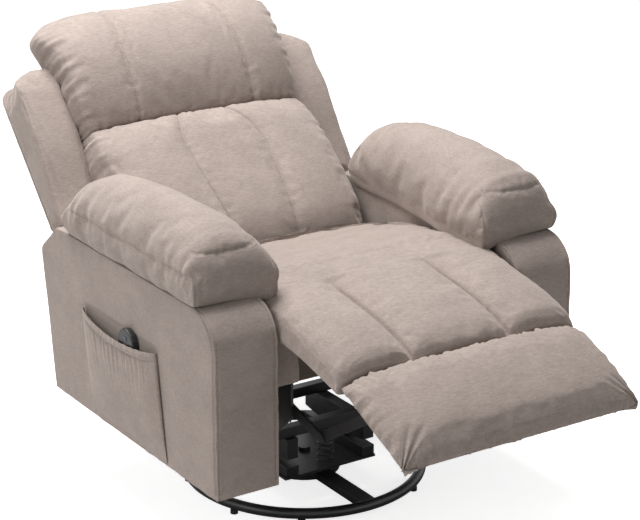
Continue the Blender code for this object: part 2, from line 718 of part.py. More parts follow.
def build_seat(chassis, fabric, wood, webbing):
    """The seat box, its webbing, the seat cushion and the pad that bridges to the foot panel."""
    reach = SIDE_PLATE_INNER - TOUCH
    front = SIDE_PLATE_FRONT
    high = (reach, front + RAIL_THICK, bridge_bottom(front) - TOUCH)
    box("seat_front_rail", (-reach, front, RAIL_BOTTOM_Z), high, wood, chassis, PLATE_EDGE)
    support = SEAT_BOTTOM_Z - TOUCH
    low = (-reach, REAR_RAIL_Y - RAIL_THICK / 2, RAIL_BOTTOM_Z)
    high = (reach, REAR_RAIL_Y + RAIL_THICK / 2, support)
    box("seat_rear_rail", low, high, wood, chassis, PLATE_EDGE)
    low = (-reach, front + RAIL_THICK + TOUCH, support - WEBBING_THICK)
    high = (reach, REAR_RAIL_Y - RAIL_THICK / 2 - TOUCH, support)
    box("seat_webbing", low, high, webbing, chassis)
    step = SEAT_SEAM_Y - SEAM_GAP
    side_view = [
        (BOX_SIDE_FRONT_Y, BOX_SIDE_BOTTOM_Z),
        (BOX_SIDE_REAR_Y, BOX_SIDE_BOTTOM_Z),
        (BOX_SIDE_REAR_Y, support),
        (step, support),
        (step, bridge_bottom(step) - TOUCH),
        (BOX_SIDE_FRONT_Y, bridge_bottom(BOX_SIDE_FRONT_Y) - TOUCH),
    ]
    outer = ARM_INNER_X - TOUCH
    for side, name in ((-1, "right"), (1, "left")):
        middle = side * (BOX_SIDE_INNER + outer) / 2
        width = outer - BOX_SIDE_INNER
        outline(f"seat_box_side_{name}", [side_view], width, fabric, chassis, "YZ", middle, BOX_SIDE_EDGE)

    def cushion(a, b, c):
        height = (c + 1.0) / 2
        draw = 1.0 - SEAT_DRAW_SHARE * c * c
        face = mix(SEAT_SEAM_Z, SEAT_REAR_Z, (b + 1.0) / 2) - SEAT_CROWN * (1.0 - swell(a, FLAT_POWER))
        face += SEAT_CROWN * swell(a, FLAT_POWER) * swell(b) / 2
        z = mix(SEAT_BOTTOM_Z, face, height)
        rear = HINGE_Y - math.sqrt(SEAT_REACH**2 - (z - HINGE_Z) ** 2)
        return (a * SEAT_HALF_WIDTH * draw, mix(SEAT_SEAM_Y + SEAM_GAP, rear, (b + 1.0) / 2), z)

    loops = (SEAT_WIDTH_SHARES, SEAT_LENGTH_SHARES, SEAT_HEIGHT_SHARES)
    soft_form("seat_cushion", loops, cushion, fabric, chassis)

    def bridge(a, b, c):
        x = a * FOOT_HALF_WIDTH
        along, up = (b + 1.0) / 2, (c + 1.0) / 2
        line = groove(x, CHANNEL_X, FOOT_HALF_WIDTH * GROOVE_SIDE_SHARE)
        puff = BRIDGE_CROWN * swell(a, FLATTER_POWER) * swell(b, FLAT_POWER) - GROOVE_DEPTH * line
        edge = BRIDGE_EDGE_SHARE * BRIDGE_THICK if abs(a) > EDGE_LOOP_SHARE else 0.0
        rise = mix(edge, BRIDGE_THICK - BRIDGE_CROWN + puff - edge, up)
        lean = (BRIDGE_THICK - rise) * math.tan(math.radians(SEAM_LEAN)) * (1.0 - along)
        y = mix(FOOT_SEAM_Y + SEAM_GAP, SEAT_SEAM_Y - SEAM_GAP, along) + lean
        return (x * (1.0 - BRIDGE_DRAW_SHARE * abs(c)), y, bridge_bottom(y) + rise)

    loops = (seam_stations(CHANNEL_X, FOOT_HALF_WIDTH), PAD_LENGTH_SHARES, (0.0,))
    soft_form("bridge_pad", loops, bridge, fabric, chassis)


def build_arms(chassis, fabric, wood):
    """Each arm: a padded cover open below, the frame board inside it and the pillow on top."""
    width = ARM_OUTER_X - ARM_INNER_X
    middle = (ARM_OUTER_X + ARM_INNER_X) / 2
    corner = arc((ARM_FRONT_Y + ARM_CORNER_R, ARM_TOP_Z - ARM_CORNER_R), ARM_CORNER_R, 180.0, 90.0, 6)
    skin = [
        (ARM_FRONT_Y, ARM_BOTTOM_Z),
        *corner,
        (ARM_CHAMFER_Y, ARM_TOP_Z),
        (ARM_REAR_Y + ARM_LEAN, ARM_CHAMFER_Z),
        (ARM_REAR_Y, ARM_BOTTOM_Z),
    ]
    front, rear, top = ARM_FRONT_Y + ARM_WALL, ARM_REAR_Y - ARM_WALL, ARM_TOP_Z - ARM_WALL
    inside = ARM_CORNER_R - ARM_WALL
    open_end = ARM_BOTTOM_Z - CUT_OVERRUN
    hollow = [
        (front, open_end),
        *arc((front + inside, top - inside), inside, 180.0, 90.0, 6),
        (ARM_CHAMFER_Y - ARM_WALL / 2, top),
        (rear + ARM_LEAN, ARM_CHAMFER_Z - ARM_WALL / 2),
        (rear, open_end),
    ]
    low, high = ARM_BOTTOM_Z + TOUCH, ARM_FRAME_TOP_Z
    start, end, band = front + TOUCH, rear - TOUCH, ARM_FRAME_BAND
    board = [(start, low), (end, low), (end, high), (start, high)]
    window = [(start + band, low + band), (start + band, high - band), (end - band, high - band)]
    window.append((end - band, low + band))
    for side, name in ((-1, "right"), (1, "left")):
        cover = outline(
            f"arm_cover_{name}", [skin], width, fabric, chassis, "YZ", side * middle, ARM_EDGE_R
        )
        void = outline("arm_void_" + name, [hollow], width - 2 * ARM_WALL, None, chassis, "YZ", side * middle)
        combine(as_mesh(cover, fabric), as_mesh(void, None), "DIFFERENCE")
        place = side * (ARM_INNER_X + ARM_WALL + TOUCH + ARM_FRAME_THICK / 2)
        outline(f"arm_frame_{name}", [board, window], ARM_FRAME_THICK, wood, chassis, "YZ", place)
        build_pillow(f"arm_pillow_{name}", side, chassis, fabric)


def build_pillow(name, side, chassis, fabric):
    middle = side * (PILLOW_INNER_X + PILLOW_OUTER_X) / 2
    half = (PILLOW_OUTER_X - PILLOW_INNER_X) / 2
    base = ARM_TOP_Z + TOUCH

    def pillow(a, b, c):
        along, up = (b + 1.0) / 2, (c + 1.0) / 2
        height = PILLOW_HEIGHT * read_shares(PILLOW_PROFILE_SHARES, along)
        top = base + height * (1.0 - PILLOW_SHOULDER_SHARE * abs(a) ** 3)
        lift = PILLOW_LIFT_SHARE * height if abs(a) > EDGE_LOOP_SHARE or b > EDGE_LOOP_SHARE else 0.0
        x = middle + a * half * (1.0 - PILLOW_DRAW_SHARE * c * c)
        round_off = PILLOW_REAR_ROUND * c * c * swell(1.0 - along, 1.0)
        y = mix(PILLOW_FRONT_Y, PILLOW_REAR_Y, along) - round_off * along
        return (x, y, mix(base + lift, top, up))

    loops = (PAD_LENGTH_SHARES, PILLOW_LENGTH_SHARES, PILLOW_HEIGHT_SHARES)
    soft_form(name, loops, pillow, fabric, chassis)


def build_back(back, fabric, wood, steel, plastic):
    """The back, upright about its hinge: frame, hinge straps, rear panel, wings and two cushions."""
    narrow, wide, step = FRAME_HALF_WIDTH, BACK_HALF_WIDTH, WING_BOTTOM_U
    shape = [(-narrow, FRAME_BOTTOM), (narrow, FRAME_BOTTOM), (narrow, step), (wide, step)]
    shape += [(wide, FRAME_TOP), (-wide, FRAME_TOP), (-wide, step), (-narrow, step)]
    inner = narrow - FRAME_BAND
    slat_low, slat_high = FRAME_SLAT_U - FRAME_BAND / 2, FRAME_SLAT_U + FRAME_BAND / 2
    spans = ((FRAME_BOTTOM + FRAME_BAND, slat_low), (slat_high, FRAME_TOP - FRAME_BAND))
    windows = [[(-inner, low), (-inner, high), (inner, high), (inner, low)] for low, high in spans]
    middle = (FRAME_FRONT + FRAME_REAR) / 2
    outline("back_frame", [shape, *windows], FRAME_THICK, wood, back, "XZ", middle)
    outer = WING_OUTER_X - TOUCH
    corner, high = outer - WING_CORNER_R, WING_TOP_U - WING_CORNER_R
    cover = [(-narrow, FRAME_BOTTOM), (narrow, FRAME_BOTTOM), (narrow, step), (outer, step)]
    cover += arc((corner, high), WING_CORNER_R, 0.0, 90.0, 6)
    cover += arc((-corner, high), WING_CORNER_R, 90.0, 180.0, 6)
    cover += [(-outer, step), (-narrow, step)]
    place = FRAME_REAR + TOUCH + BACK_PANEL_THICK / 2
    outline("back_panel", [cover], BACK_PANEL_THICK, fabric, back, "XZ", place)
    for side, name in ((-1, "right"), (1, "left")):
        strap = [stadium((0.0, 0.0), (middle, HINGE_STRAP_U), LINK_HALF_WIDTH)]
        reach = TOUCH + SIDE_PLATE_THICK
        pinned_plate(
            f"back_hinge_{name}", strap, (0.0, 0.0), FRAME_HALF_WIDTH + TOUCH, side, reach, steel, back
        )
        build_wing(f"back_wing_{name}", side, back, fabric)
        low = (side * MOTOR_X, FRAME_FRONT + TOUCH, slat_high + TOUCH + MOTOR_R)
        high = (side * MOTOR_X, FRAME_FRONT + TOUCH + MOTOR_THICK, slat_high + TOUCH + MOTOR_R)
        cylinder(f"massage_motor_{name}", MOTOR_R, low, high, "Y", plastic, back)
    build_back_cushions(back, fabric)


def build_wing(name, side, back, fabric):
    inner, outer = BACK_HALF_WIDTH + SEAM_GAP, WING_OUTER_X
    rear = FRAME_REAR - TOUCH

    def wing(a, b, c):
        up = (c + 1.0) / 2
        swollen = min(1.0, max(0.0, (up - WING_SWELL_START_SHARE) / WING_SWELL_SPAN_SHARE))
        reach = mix(WING_LOW_FRONT, WING_HIGH_FRONT, swollen * swollen * (3.0 - 2.0 * swollen))
        front = -reach * (1.0 - WING_ROUND_SHARE * abs(a) if c < EDGE_LOOP_SHARE else WING_TOP_SHARE)
        x = mix(inner, outer, (side * a + 1.0) / 2)
        z = mix(WING_BOTTOM_U, WING_TOP_U, up)
        z -= WING_CORNER_R / 2 * (1.0 + side * a) / 2 if c > EDGE_LOOP_SHARE else 0.0
        return (side * x, mix(front, rear, (b + 1.0) / 2), z)

    soft_form(name, (WING_SIDE_SHARES, WING_SIDE_SHARES, PAD_WIDTH_SHARES), wing, fabric, back)


def build_back_cushions(back, fabric):
    """The lumbar and head cushions, each with two sewn lines up its face."""
    rear = FRAME_FRONT - TOUCH

    def face(a, crown, share):
        x = a * BACK_HALF_WIDTH
        line = groove(x, BACK_SEAM_X, BACK_HALF_WIDTH * GROOVE_SIDE_SHARE)
        return crown * share * (1.0 - BACK_SIDE_DROP_SHARE * abs(a) ** FLAT_POWER) - GROOVE_DEPTH * line

    def half_width(a, b):
        return a * BACK_HALF_WIDTH * (1.0 - BACK_DRAW_SHARE * b * b)

    def lumbar(a, b, c):
        up, ahead = (c + 1.0) / 2, (1.0 - b) / 2
        depth = face(a, LUMBAR_CROWN, read_shares(LUMBAR_PROFILE_SHARES, up))
        low = LUMBAR_REAR_U * (1.0 - ahead)
        top = LUMBAR_SEAM_U - SEAM_GAP
        return (half_width(a, b), mix(rear, -depth, ahead), mix(low, top, up))

    def head(a, b, c):
        up, ahead = (c + 1.0) / 2, (1.0 - b) / 2
        depth = face(a, HEAD_CROWN, read_shares(HEAD_PROFILE_SHARES, up))
        top = HEAD_TOP_U * (1.0 - HEAD_CORNER_SHARE * abs(a) ** FLAT_POWER)
        z = mix(LUMBAR_SEAM_U + SEAM_GAP, top, up)
        return (half_width(a, b), mix(rear, -depth, ahead), z)

    lines = seam_stations(BACK_SEAM_X, BACK_HALF_WIDTH)
    soft_form("lumbar_cushion", (lines, (0.0,), BACK_HEIGHT_SHARES), lumbar, fabric, back)
    soft_form("head_cushion", (lines, (0.0,), BACK_HEIGHT_SHARES), head, fabric, back)


def pocket_depth(along, up):
    """How far the pocket stands off the arm, at shares of its width and height."""
    bow = max(0.0, math.sin(math.pi * along)) ** POCKET_BOW_POWER
    return POCKET_DEPTH * bow * (1.0 - (1.0 - up) ** 3)


def build_pocket(chassis, fabric):
    """The side pocket: one sewn sheet on the right arm, sagging and gathered along its mouth."""
    work = bmesh.new()
    bmesh.ops.create_grid(work, x_segments=16, y_segments=7, size=0.5)
    for vert in work.verts:
        along, up = vert.co.x + 0.5, vert.co.y + 0.5
        sag = POCKET_SAG * math.sin(math.pi * along) * up
        wave = POCKET_WAVE * math.cos(POCKET_WAVES * 2 * math.pi * along) * up * math.sin(math.pi * along)
        y = mix(POCKET_FRONT_Y, POCKET_REAR_Y, along) - POCKET_LEAN * (1.0 - up)
        z = mix(POCKET_BOTTOM_Z, POCKET_TOP_Z, up) - sag
        vert.co = Vector((-POCKET_FACE_X - pocket_depth(along, up) - wave, y, z))
    made = from_bmesh("arm_pocket", work, fabric, chassis)
    wall = made.modifiers.new("cloth", "SOLIDIFY")
    wall.thickness = POCKET_WALL
    wall.offset = -1.0
    return made


def build_remote(remote, plastic, key):
    """The remote control, standing in the pocket with its keys outwards."""
    inner = -(POCKET_FACE_X + TOUCH)
    middle = inner - REMOTE_THICK / 2
    half, edge = REMOTE_HALF_WIDTH, REMOTE_HALF_WIDTH
    low, high = (REMOTE_Y, REMOTE_BOTTOM_Z + half), (REMOTE_Y, REMOTE_TOP_Z - half)
    shell = outline(
        "remote_case", [stadium(low, high, edge)], REMOTE_THICK, plastic, remote, "YZ", middle, REMOTE_EDGE_R
    )
    case = as_mesh(shell, plastic)
    face = inner - REMOTE_THICK
    for number in range(2):
        z = REMOTE_TOP_Z - BUTTON_DROP - number * BUTTON_PITCH
        sunk = BUTTON_THICK - BUTTON_PROUD
        floor = (face + sunk + BUTTON_TRAVEL + TOUCH, REMOTE_Y, z)
        mouth = (face - CUT_OVERRUN, REMOTE_Y, z)
        recess = cylinder(
            f"key_recess_{number + 1}", BUTTON_R + PIN_CLEARANCE, mouth, floor, "X", None, remote
        )
        cut = combine(case, recess, "DIFFERENCE")
        cut.modifiers[-1].name = f"recess_{number + 1}"
        outer, inner_end = (face - BUTTON_PROUD, REMOTE_Y, z), (face + sunk, REMOTE_Y, z)
        cylinder(f"remote_key_{number + 1}", BUTTON_R, outer, inner_end, "X", key, remote)


def build_release(chassis, steel):
    """The pull ring that frees the footrest, in the crease between the seat and the right arm."""
    x = -(ARM_INNER_X - TOUCH - RELEASE_WIRE_R)
    height = RELEASE_TOP_Z - RELEASE_BOTTOM_Z
    radius = height / 2
    middle = (RELEASE_TOP_Z + RELEASE_BOTTOM_Z) / 2
    run = RELEASE_HALF_WIDTH - radius
    loop = stadium((RELEASE_Y - run, middle), (RELEASE_Y + run, middle), radius, 6)
    tube("release_ring", [(x, y, z) for y, z in loop], RELEASE_WIRE_R, steel, chassis, closed=True)


def main():
    clear_scene()
    steel = make_material("black_steel", (0.012, 0.012, 0.013), 0.45, 0.6)
    rubber = make_material("glide_rubber", (0.015, 0.015, 0.015), 0.8, 0.0)
    fabric = make_material("greige_chenille", (0.45, 0.38, 0.32), 0.95, 0.0)
    lining = make_material("webbing", (0.05, 0.05, 0.05), 0.9, 0.0)
    wood = make_material("plywood", (0.45, 0.30, 0.16), 0.7, 0.0)
    plastic = make_material("dark_plastic", (0.02, 0.02, 0.024), 0.35, 0.0)
    key = make_material("key_rubber", (0.12, 0.12, 0.13), 0.6, 0.0)
    frame = add_axis("swivel_center", None, (0.0, SWIVEL_Y, 0.0))
    swivel = add_axis("swivel_axis", frame, (0.0, 0.0, 0.0))
    chassis = add_axis("chassis_frame", swivel, (0.0, 0.0, 0.0))
    back = add_axis("recline_axis", chassis, (0.0, HINGE_Y, HINGE_Z), -RECLINE)
    panel = add_axis("foot_panel_frame", chassis, (0.0, FOOT_SEAM_Y, FOOT_SEAM_Z), FOOT_SLOPE)
    build_base(frame, steel, rubber)
    build_turntable(swivel, steel)
    build_rockers(chassis, steel)
    build_links(chassis, steel)
    build_foot_panel(panel, fabric, wood, steel)
    build_seat(chassis, fabric, wood, lining)
    build_arms(chassis, fabric, wood)
    build_back(back, fabric, wood, steel, plastic)
    build_pocket(chassis, fabric)
    build_remote(chassis, plastic, key)
    build_release(chassis, steel)
    bpy.context.view_layer.update()


if __name__ == "__main__":
    main()
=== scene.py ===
"""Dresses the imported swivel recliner: padded covers, steelwork, remote control, floor, light and camera.

Lengths are in metres and angles in degrees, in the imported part's own frame: the chair faces -Y and +X is
the sitter's left. The back is shaped upright about its hinge and the foot panel flat about its rear seam,
and each is leaned into place. Every operator makes one piece or one group of like pieces.
"""

import json
import math

import bpy
from mathutils import Matrix, Vector, noise
from mathutils.bvhtree import BVHTree


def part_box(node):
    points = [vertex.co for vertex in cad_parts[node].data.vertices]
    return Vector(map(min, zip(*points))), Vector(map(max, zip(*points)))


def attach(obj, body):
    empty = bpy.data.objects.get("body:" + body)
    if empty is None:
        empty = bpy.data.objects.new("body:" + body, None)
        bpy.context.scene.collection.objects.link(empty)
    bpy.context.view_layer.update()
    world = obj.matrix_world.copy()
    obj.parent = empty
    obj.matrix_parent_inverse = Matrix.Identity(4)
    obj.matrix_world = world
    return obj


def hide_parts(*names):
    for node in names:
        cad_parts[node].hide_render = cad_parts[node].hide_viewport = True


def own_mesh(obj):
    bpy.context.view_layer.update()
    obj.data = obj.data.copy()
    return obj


bl_info = {
    "name": "Swivel recliner dressing",
    "version": (1, 0, 0),
    "blender": (4, 5, 0),
    "location": "View3D > Sidebar > Recliner",
    "description": "Builds the covers, steelwork and studio of a swivel recliner around its packed model",
    "category": "Object",
}

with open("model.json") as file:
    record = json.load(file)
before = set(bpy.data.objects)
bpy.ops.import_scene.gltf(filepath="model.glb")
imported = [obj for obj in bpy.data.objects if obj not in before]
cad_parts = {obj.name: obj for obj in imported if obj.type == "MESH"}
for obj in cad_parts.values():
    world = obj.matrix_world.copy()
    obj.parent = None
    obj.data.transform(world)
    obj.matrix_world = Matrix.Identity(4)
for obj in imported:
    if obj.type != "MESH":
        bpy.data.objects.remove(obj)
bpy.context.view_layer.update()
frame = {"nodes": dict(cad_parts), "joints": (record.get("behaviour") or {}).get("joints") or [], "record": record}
NODES = frame["nodes"]
JOINTS = {joint["name"]: joint for joint in frame["joints"]}

# Frames of the leaned parts
BACK_LEAN = -43.0
FOOT_LEAN = 23.7
HINGE = Vector(JOINTS["recline"]["pos_m"])
FOOT_SEAM = Vector((0.0, -0.580, 0.514))
BACK_FRAME = Matrix.Translation(HINGE) @ Matrix.Rotation(math.radians(BACK_LEAN), 4, "X")
FOOT_FRAME = Matrix.Translation(FOOT_SEAM) @ Matrix.Rotation(math.radians(FOOT_LEAN), 4, "X")
STILL = Matrix.Identity(4)

# Sizes that the padded covers share
SEAM_GAP = 0.0015
COVER_INSET = 0.0015
STITCH_BESIDE = 0.0045
STITCH_SHARE = 0.6
STITCH_SEARCH = 0.12
BACK_HALF_WIDTH = 0.298
BACK_REAR = 0.0047
LUMBAR_SEAM_U = 0.430
BACK_SEAM_X = 0.105
CHANNEL_X = 0.125
PAD_HALF_WIDTH = 0.308
SEAT_SEAM_Y = -0.219
SEAT_SEAM_Z = 0.599
BRIDGE_THICK = 0.066


def colour_setting(name, description, default):
    """A colour that the sidebar shows."""
    return bpy.props.FloatVectorProperty(
        name=name, description=description, subtype="COLOR", size=3, default=default, min=0.0, max=1.0,
    )


def lamp_setting(name, place, default):
    """A lamp's power that the sidebar shows."""
    return bpy.props.FloatProperty(
        name=name, description=f"Power of the soft lamp {place}, in watts", default=default,
    )


class ReclinerCloth(bpy.types.PropertyGroup):
    light_tone: colour_setting("Light tone", "Colour of the brushed pile", (0.430, 0.360, 0.328))
    dark_tone: colour_setting("Dark tone", "Colour between the tufts of the pile", (0.185, 0.150, 0.130))
    thread_tone: colour_setting("Thread", "Colour of the sewing thread", (0.36, 0.31, 0.27))
    pressure: bpy.props.FloatProperty(
        name="Stuffing", description="Pressure that fills out the cushions", default=4.0, min=0.0, max=12.0,
    )
    slack: bpy.props.FloatProperty(
        name="Slack", description="Share by which a cover is cut larger than its filling",
        subtype="FACTOR", default=0.012, min=0.0, max=0.2,
    )
    seam_depth: bpy.props.FloatProperty(
        name="Seam depth", description="How far a sewn line pulls into the padding", unit="LENGTH",
        default=0.004, min=0.0, max=0.02,
    )


class ReclinerHardware(bpy.types.PropertyGroup):
    # Steel: black paint, made darker still as painted shade for the mechanism under the seat
    steel_and_shade_tone: colour_setting("Steel", "Colour of the painted steel", (0.011, 0.011, 0.012))
    wood_tone: colour_setting("Plywood", "Colour of the boards inside", (0.085, 0.060, 0.042))
    case_tone: colour_setting("Remote case", "Colour of the remote control", (0.020, 0.021, 0.025))


class ReclinerStudio(bpy.types.PropertyGroup):
    azimuth: bpy.props.FloatProperty(
        name="Azimuth", description="Turn of the camera round the chair", default=-33.19,
    )
    elevation: bpy.props.FloatProperty(
        name="Elevation", description="Height of the camera above the horizon", default=19.68,
    )
    distance: bpy.props.FloatProperty(
        name="Distance", description="From the camera to its target", unit="LENGTH", default=4.92,
    )
    overhead_power: lamp_setting("Overhead lamp", "above", 146.0)
    side_power: lamp_setting("Side lamp", "at the chair's right", 30.0)
    fill_power: lamp_setting("Fill lamp", "in front", 9.0)


def cloth():
    return bpy.context.scene.recliner_cloth


def hardware():
    return bpy.context.scene.recliner_hardware


def studio():
    return bpy.context.scene.recliner_studio


def mix(low, high, share):
    """The value a share of the way from low to high."""
    return low + (high - low) * share


def swell(value, power=2.0):
    """One in the middle of a unit span and zero at its ends."""
    return max(0.0, 1.0 - abs(value) ** power)


def follow(table, place):
    """Read a height from a table of (station, height) along a curve without kinks."""
    last = len(table) - 1
    at = next((i for i in range(last) if place <= table[i + 1][0]), last - 1)

    def slope(i):
        low, high = max(0, i - 1), min(last, i + 1)
        return (table[high][1] - table[low][1]) / (table[high][0] - table[low][0])

    (a, low), (b, high) = table[at], table[at + 1]
    wide = b - a
    t = min(1.0, max(0.0, (place - a) / wide))
    start, end = slope(at) * wide, slope(at + 1) * wide
    return ((2 * t**3 - 3 * t * t + 1) * low + (t**3 - 2 * t * t + t) * start
            + (3 * t * t - 2 * t**3) * high + (t**3 - t * t) * end)


def ramp(value, low, high):
    """Rise smoothly from 0 at low to 1 at high."""
    t = min(1.0, max(0.0, (value - low) / (high - low)))
    return t * t * (3.0 - 2.0 * t)


def dip(distance, width):
    """One on a line and nothing beyond some twice its width."""
    return math.exp(-((distance / width) ** 2))


def gathers(along, away, reach, pitch, seed):
    """Puckers that run out from a sewn line, strongest at the line and gone past their reach."""
    wave = noise.noise(Vector((along / pitch, away / (3.0 * reach), seed)))
    fine = noise.noise(Vector((along / (0.42 * pitch), away / (1.5 * reach), seed + 7.3)))
    return math.exp(-abs(away) / reach) * (wave + 0.35 * fine)


def creases(place, size, seed):
    """Soft uneven ground of a worn cover, between about -1 and 1."""
    return noise.noise(place / size + Vector((seed, 2.0 * seed, 0.0)))


def deselect():
    if bpy.context.object and bpy.context.object.mode != "OBJECT":
        bpy.ops.object.mode_set(mode="OBJECT")
    bpy.ops.object.select_all(action="DESELECT")


def pick(piece):
    deselect()
    piece.select_set(True)
    bpy.context.view_layer.objects.active = piece


def named(piece, name):
    """Name an object and its mesh alike."""
    piece.name = piece.data.name = name
    return piece


def apply_modifier(piece, kind, **settings):
    """Add a modifier to a piece and apply it at once."""
    modifier = piece.modifiers.new(kind.lower(), kind)
    for key, value in settings.items():
        setattr(modifier, key, value)
    pick(piece)
    bpy.ops.object.modifier_apply(modifier=modifier.name)
    return piece


def join(pieces, name):
    """Join several meshes into the first one and name it."""
    pick(pieces[0])
    for piece in pieces:
        piece.select_set(True)
    bpy.ops.object.join()
    return named(bpy.context.object, name)


def cuts(places, low, high):
    """Where a cage is cut, from -1 to 1, for places between low and high."""
    return [2.0 * (place - low) / (high - low) - 1.0 for place in places]


def subdivide(piece, level):
    return apply_modifier(piece, "SUBSURF", levels=level, render_levels=level)


def cage(name, loops, place, level):
    """A cube cut by loops along each axis, each point put in its place, then smoothed by subdivision."""
    deselect()
    bpy.ops.mesh.primitive_cube_add(size=2.0)
    piece = named(bpy.context.object, name)
    bpy.ops.object.mode_set(mode="EDIT")
    for axis, places in enumerate(loops):
        normal = [1.0 if i == axis else 0.0 for i in range(3)]
        for cut in places:
            bpy.ops.mesh.select_all(action="SELECT")
            bpy.ops.mesh.bisect(plane_co=[cut * n for n in normal], plane_no=normal)
    bpy.ops.object.mode_set(mode="OBJECT")
    for vert in piece.data.vertices:
        vert.co = Vector(place(*vert.co))
    return subdivide(piece, level)


def press(piece, depth):
    """Move every point along its normal by what depth(place, normal) gives."""
    mesh = piece.data
    moved = [vert.co + vert.normal * depth(vert.co, vert.normal) for vert in mesh.vertices]
    for vert, place in zip(mesh.vertices, moved):
        vert.co = place
    mesh.update()
    return piece


COVER_CLOTH = {
    "quality": 4, "mass": 0.3, "tension_stiffness": 18.0, "compression_stiffness": 12.0,
    "shear_stiffness": 6.0, "bending_stiffness": 0.35, "use_pressure": True,
}


def stuff(piece, held, cap, pressure_share=1.0, frames=13):
    """Fill a sewn piece out by cloth simulation: held points stay, and no point moves past the cap."""
    scene = bpy.context.scene
    start = [vert.co.copy() for vert in piece.data.vertices]
    group = piece.vertex_groups.new(name="held")
    for index, place in enumerate(start):
        weight = held(place)
        if weight > 0.0:
            group.add([index], min(1.0, weight), "REPLACE")
    modifier = piece.modifiers.new("stuffing", "CLOTH")
    settings = modifier.settings
    for key, value in COVER_CLOTH.items():
        setattr(settings, key, value)
    settings.uniform_pressure_force = cloth().pressure * pressure_share
    settings.shrink_min = -cloth().slack
    settings.vertex_group_mass = group.name
    settings.effector_weights.gravity = 0.0
    modifier.collision_settings.use_collision = False
    modifier.point_cache.frame_start = 1
    modifier.point_cache.frame_end = frames
    for step in range(1, frames + 1):
        scene.frame_set(step)
    pick(piece)
    bpy.ops.object.modifier_apply(modifier=modifier.name)
    scene.frame_set(1)
    for vert, place in zip(piece.data.vertices, start):
        move = vert.co - place
        if move.length > cap:
            vert.co = place + move * (cap / move.length)
    piece.vertex_groups.clear()
    piece.data.update()
    return piece


def finish(piece, material, body, nodes):
    """Give a piece its one material, hide the imported parts that it stands for, and hang it on the empty of the
    body that carries it.
    """
    piece.data.shade_smooth()
    piece.data.materials.clear()
    piece.data.materials.append(material)
    if nodes:
        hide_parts(*nodes)
    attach(piece, body)
    return piece


def finish_soft(piece, matrix, material, body, nodes):
    """Lean a padded piece into place and finish it."""
    piece.data.transform(matrix)
    finish(piece, material, body, nodes)
    return piece


def stitch_track(surface, points, facing):
    """The places and normals where a run of points meets a surface, and how far along each one is."""
    away = facing * STITCH_SEARCH
    laid = [surface.ray_cast(Vector(point) + away, -facing, 2.0 * STITCH_SEARCH)[:2] for point in points]
    laid = [hit for hit in laid if hit[0]]
    reach = [0.0]
    for (here, _), (there, _) in zip(laid, laid[1:]):
        reach.append(reach[-1] + (there - here).length)
    return laid, reach


def track_point(laid, reach, distance):
    """The place and normal of a stitch track at a distance from its start."""
    for index, far in enumerate(reach[1:], start=1):
        if distance <= far:
            step = (distance - reach[index - 1]) / max(far - reach[index - 1], 1e-9)
            return laid[index - 1][0].lerp(laid[index][0], step), laid[index][1]
    return laid[-1]


def sewing_line(name, piece, runs, facing, body="chair", matrix=STILL, pitch=0.008, radius=0.0006):
    """Stitches along runs of points, laid on the piece's surface from the side they are sewn on."""
    corners = [vert.co.copy() for vert in piece.data.vertices]
    surface = BVHTree.FromPolygons(corners, [list(face.vertices) for face in piece.data.polygons])
    facing = Vector(facing).normalized()
    curve = bpy.data.curves.new(name, "CURVE")
    curve.dimensions = "3D"
    curve.bevel_depth = radius
    curve.bevel_resolution = 1
    curve.use_fill_caps = True
    for points in runs:
        laid, reach = stitch_track(surface, points, facing)
        for number in range(int(reach[-1] / pitch)):
            start, up = track_point(laid, reach, number * pitch)
            end, _ = track_point(laid, reach, (number + STITCH_SHARE) * pitch)
            if (end - start).length > pitch:
                continue
            spline = curve.splines.new("POLY")
            spline.points.add(2)
            middle = (start + end) / 2 + up * radius * 1.2
            for index, place in enumerate((start - up * radius, middle, end - up * radius)):
                spline.points[index].co = (*place, 1.0)
    thread = bpy.data.objects.new(name, curve)
    bpy.context.scene.collection.objects.link(thread)
    pick(thread)
    bpy.ops.object.convert(target="MESH")
    thread = named(bpy.context.object, name)
    thread.data.materials.clear()
    thread.data.materials.append(sewing_thread())
    thread.data.transform(matrix)
    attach(thread, body)
    return thread


def span(low, high, count):
    """Evenly spaced values from low to high."""
    return [mix(low, high, index / (count - 1)) for index in range(count)]


def new_group(name, inputs, outputs):
    """An empty shader node group with named inputs and outputs; returns its tree and its two end nodes."""
    tree = bpy.data.node_groups.new(name, "ShaderNodeTree")
    for title, kind, value in inputs:
        socket = tree.interface.new_socket(title, in_out="INPUT", socket_type="NodeSocket" + kind)
        if value is not None:
            socket.default_value = value
    for title, kind in outputs:
        tree.interface.new_socket(title, in_out="OUTPUT", socket_type="NodeSocket" + kind)
    return tree, tree.nodes.new("NodeGroupInput"), tree.nodes.new("NodeGroupOutput")


def math_node(tree, operation, first, second=None, third=None, clamp=False):
    made = tree.nodes.new("ShaderNodeMath")
    made.operation = operation
    made.use_clamp = clamp
    for socket, value in zip(made.inputs, (first, second, third)):
        if isinstance(value, (int, float)):
            socket.default_value = value
        elif value is not None:
            tree.links.new(value, socket)
    return made.outputs[0]


def noise_node(tree, place, scale, detail=2.0, roughness=0.5, stretch=None):
    """A noise pattern over a place, stretched along the axes where that is given."""
    if stretch:
        mapping = tree.nodes.new("ShaderNodeMapping")
        mapping.inputs["Scale"].default_value = stretch
        tree.links.new(place, mapping.inputs["Vector"])
        place = mapping.outputs["Vector"]
    made = tree.nodes.new("ShaderNodeTexNoise")
    tree.links.new(place, made.inputs["Vector"])
    made.inputs["Detail"].default_value = detail
    made.inputs["Roughness"].default_value = roughness
    if isinstance(scale, (int, float)):
        made.inputs["Scale"].default_value = scale
    else:
        tree.links.new(scale, made.inputs["Scale"])
    return made.outputs["Fac"]


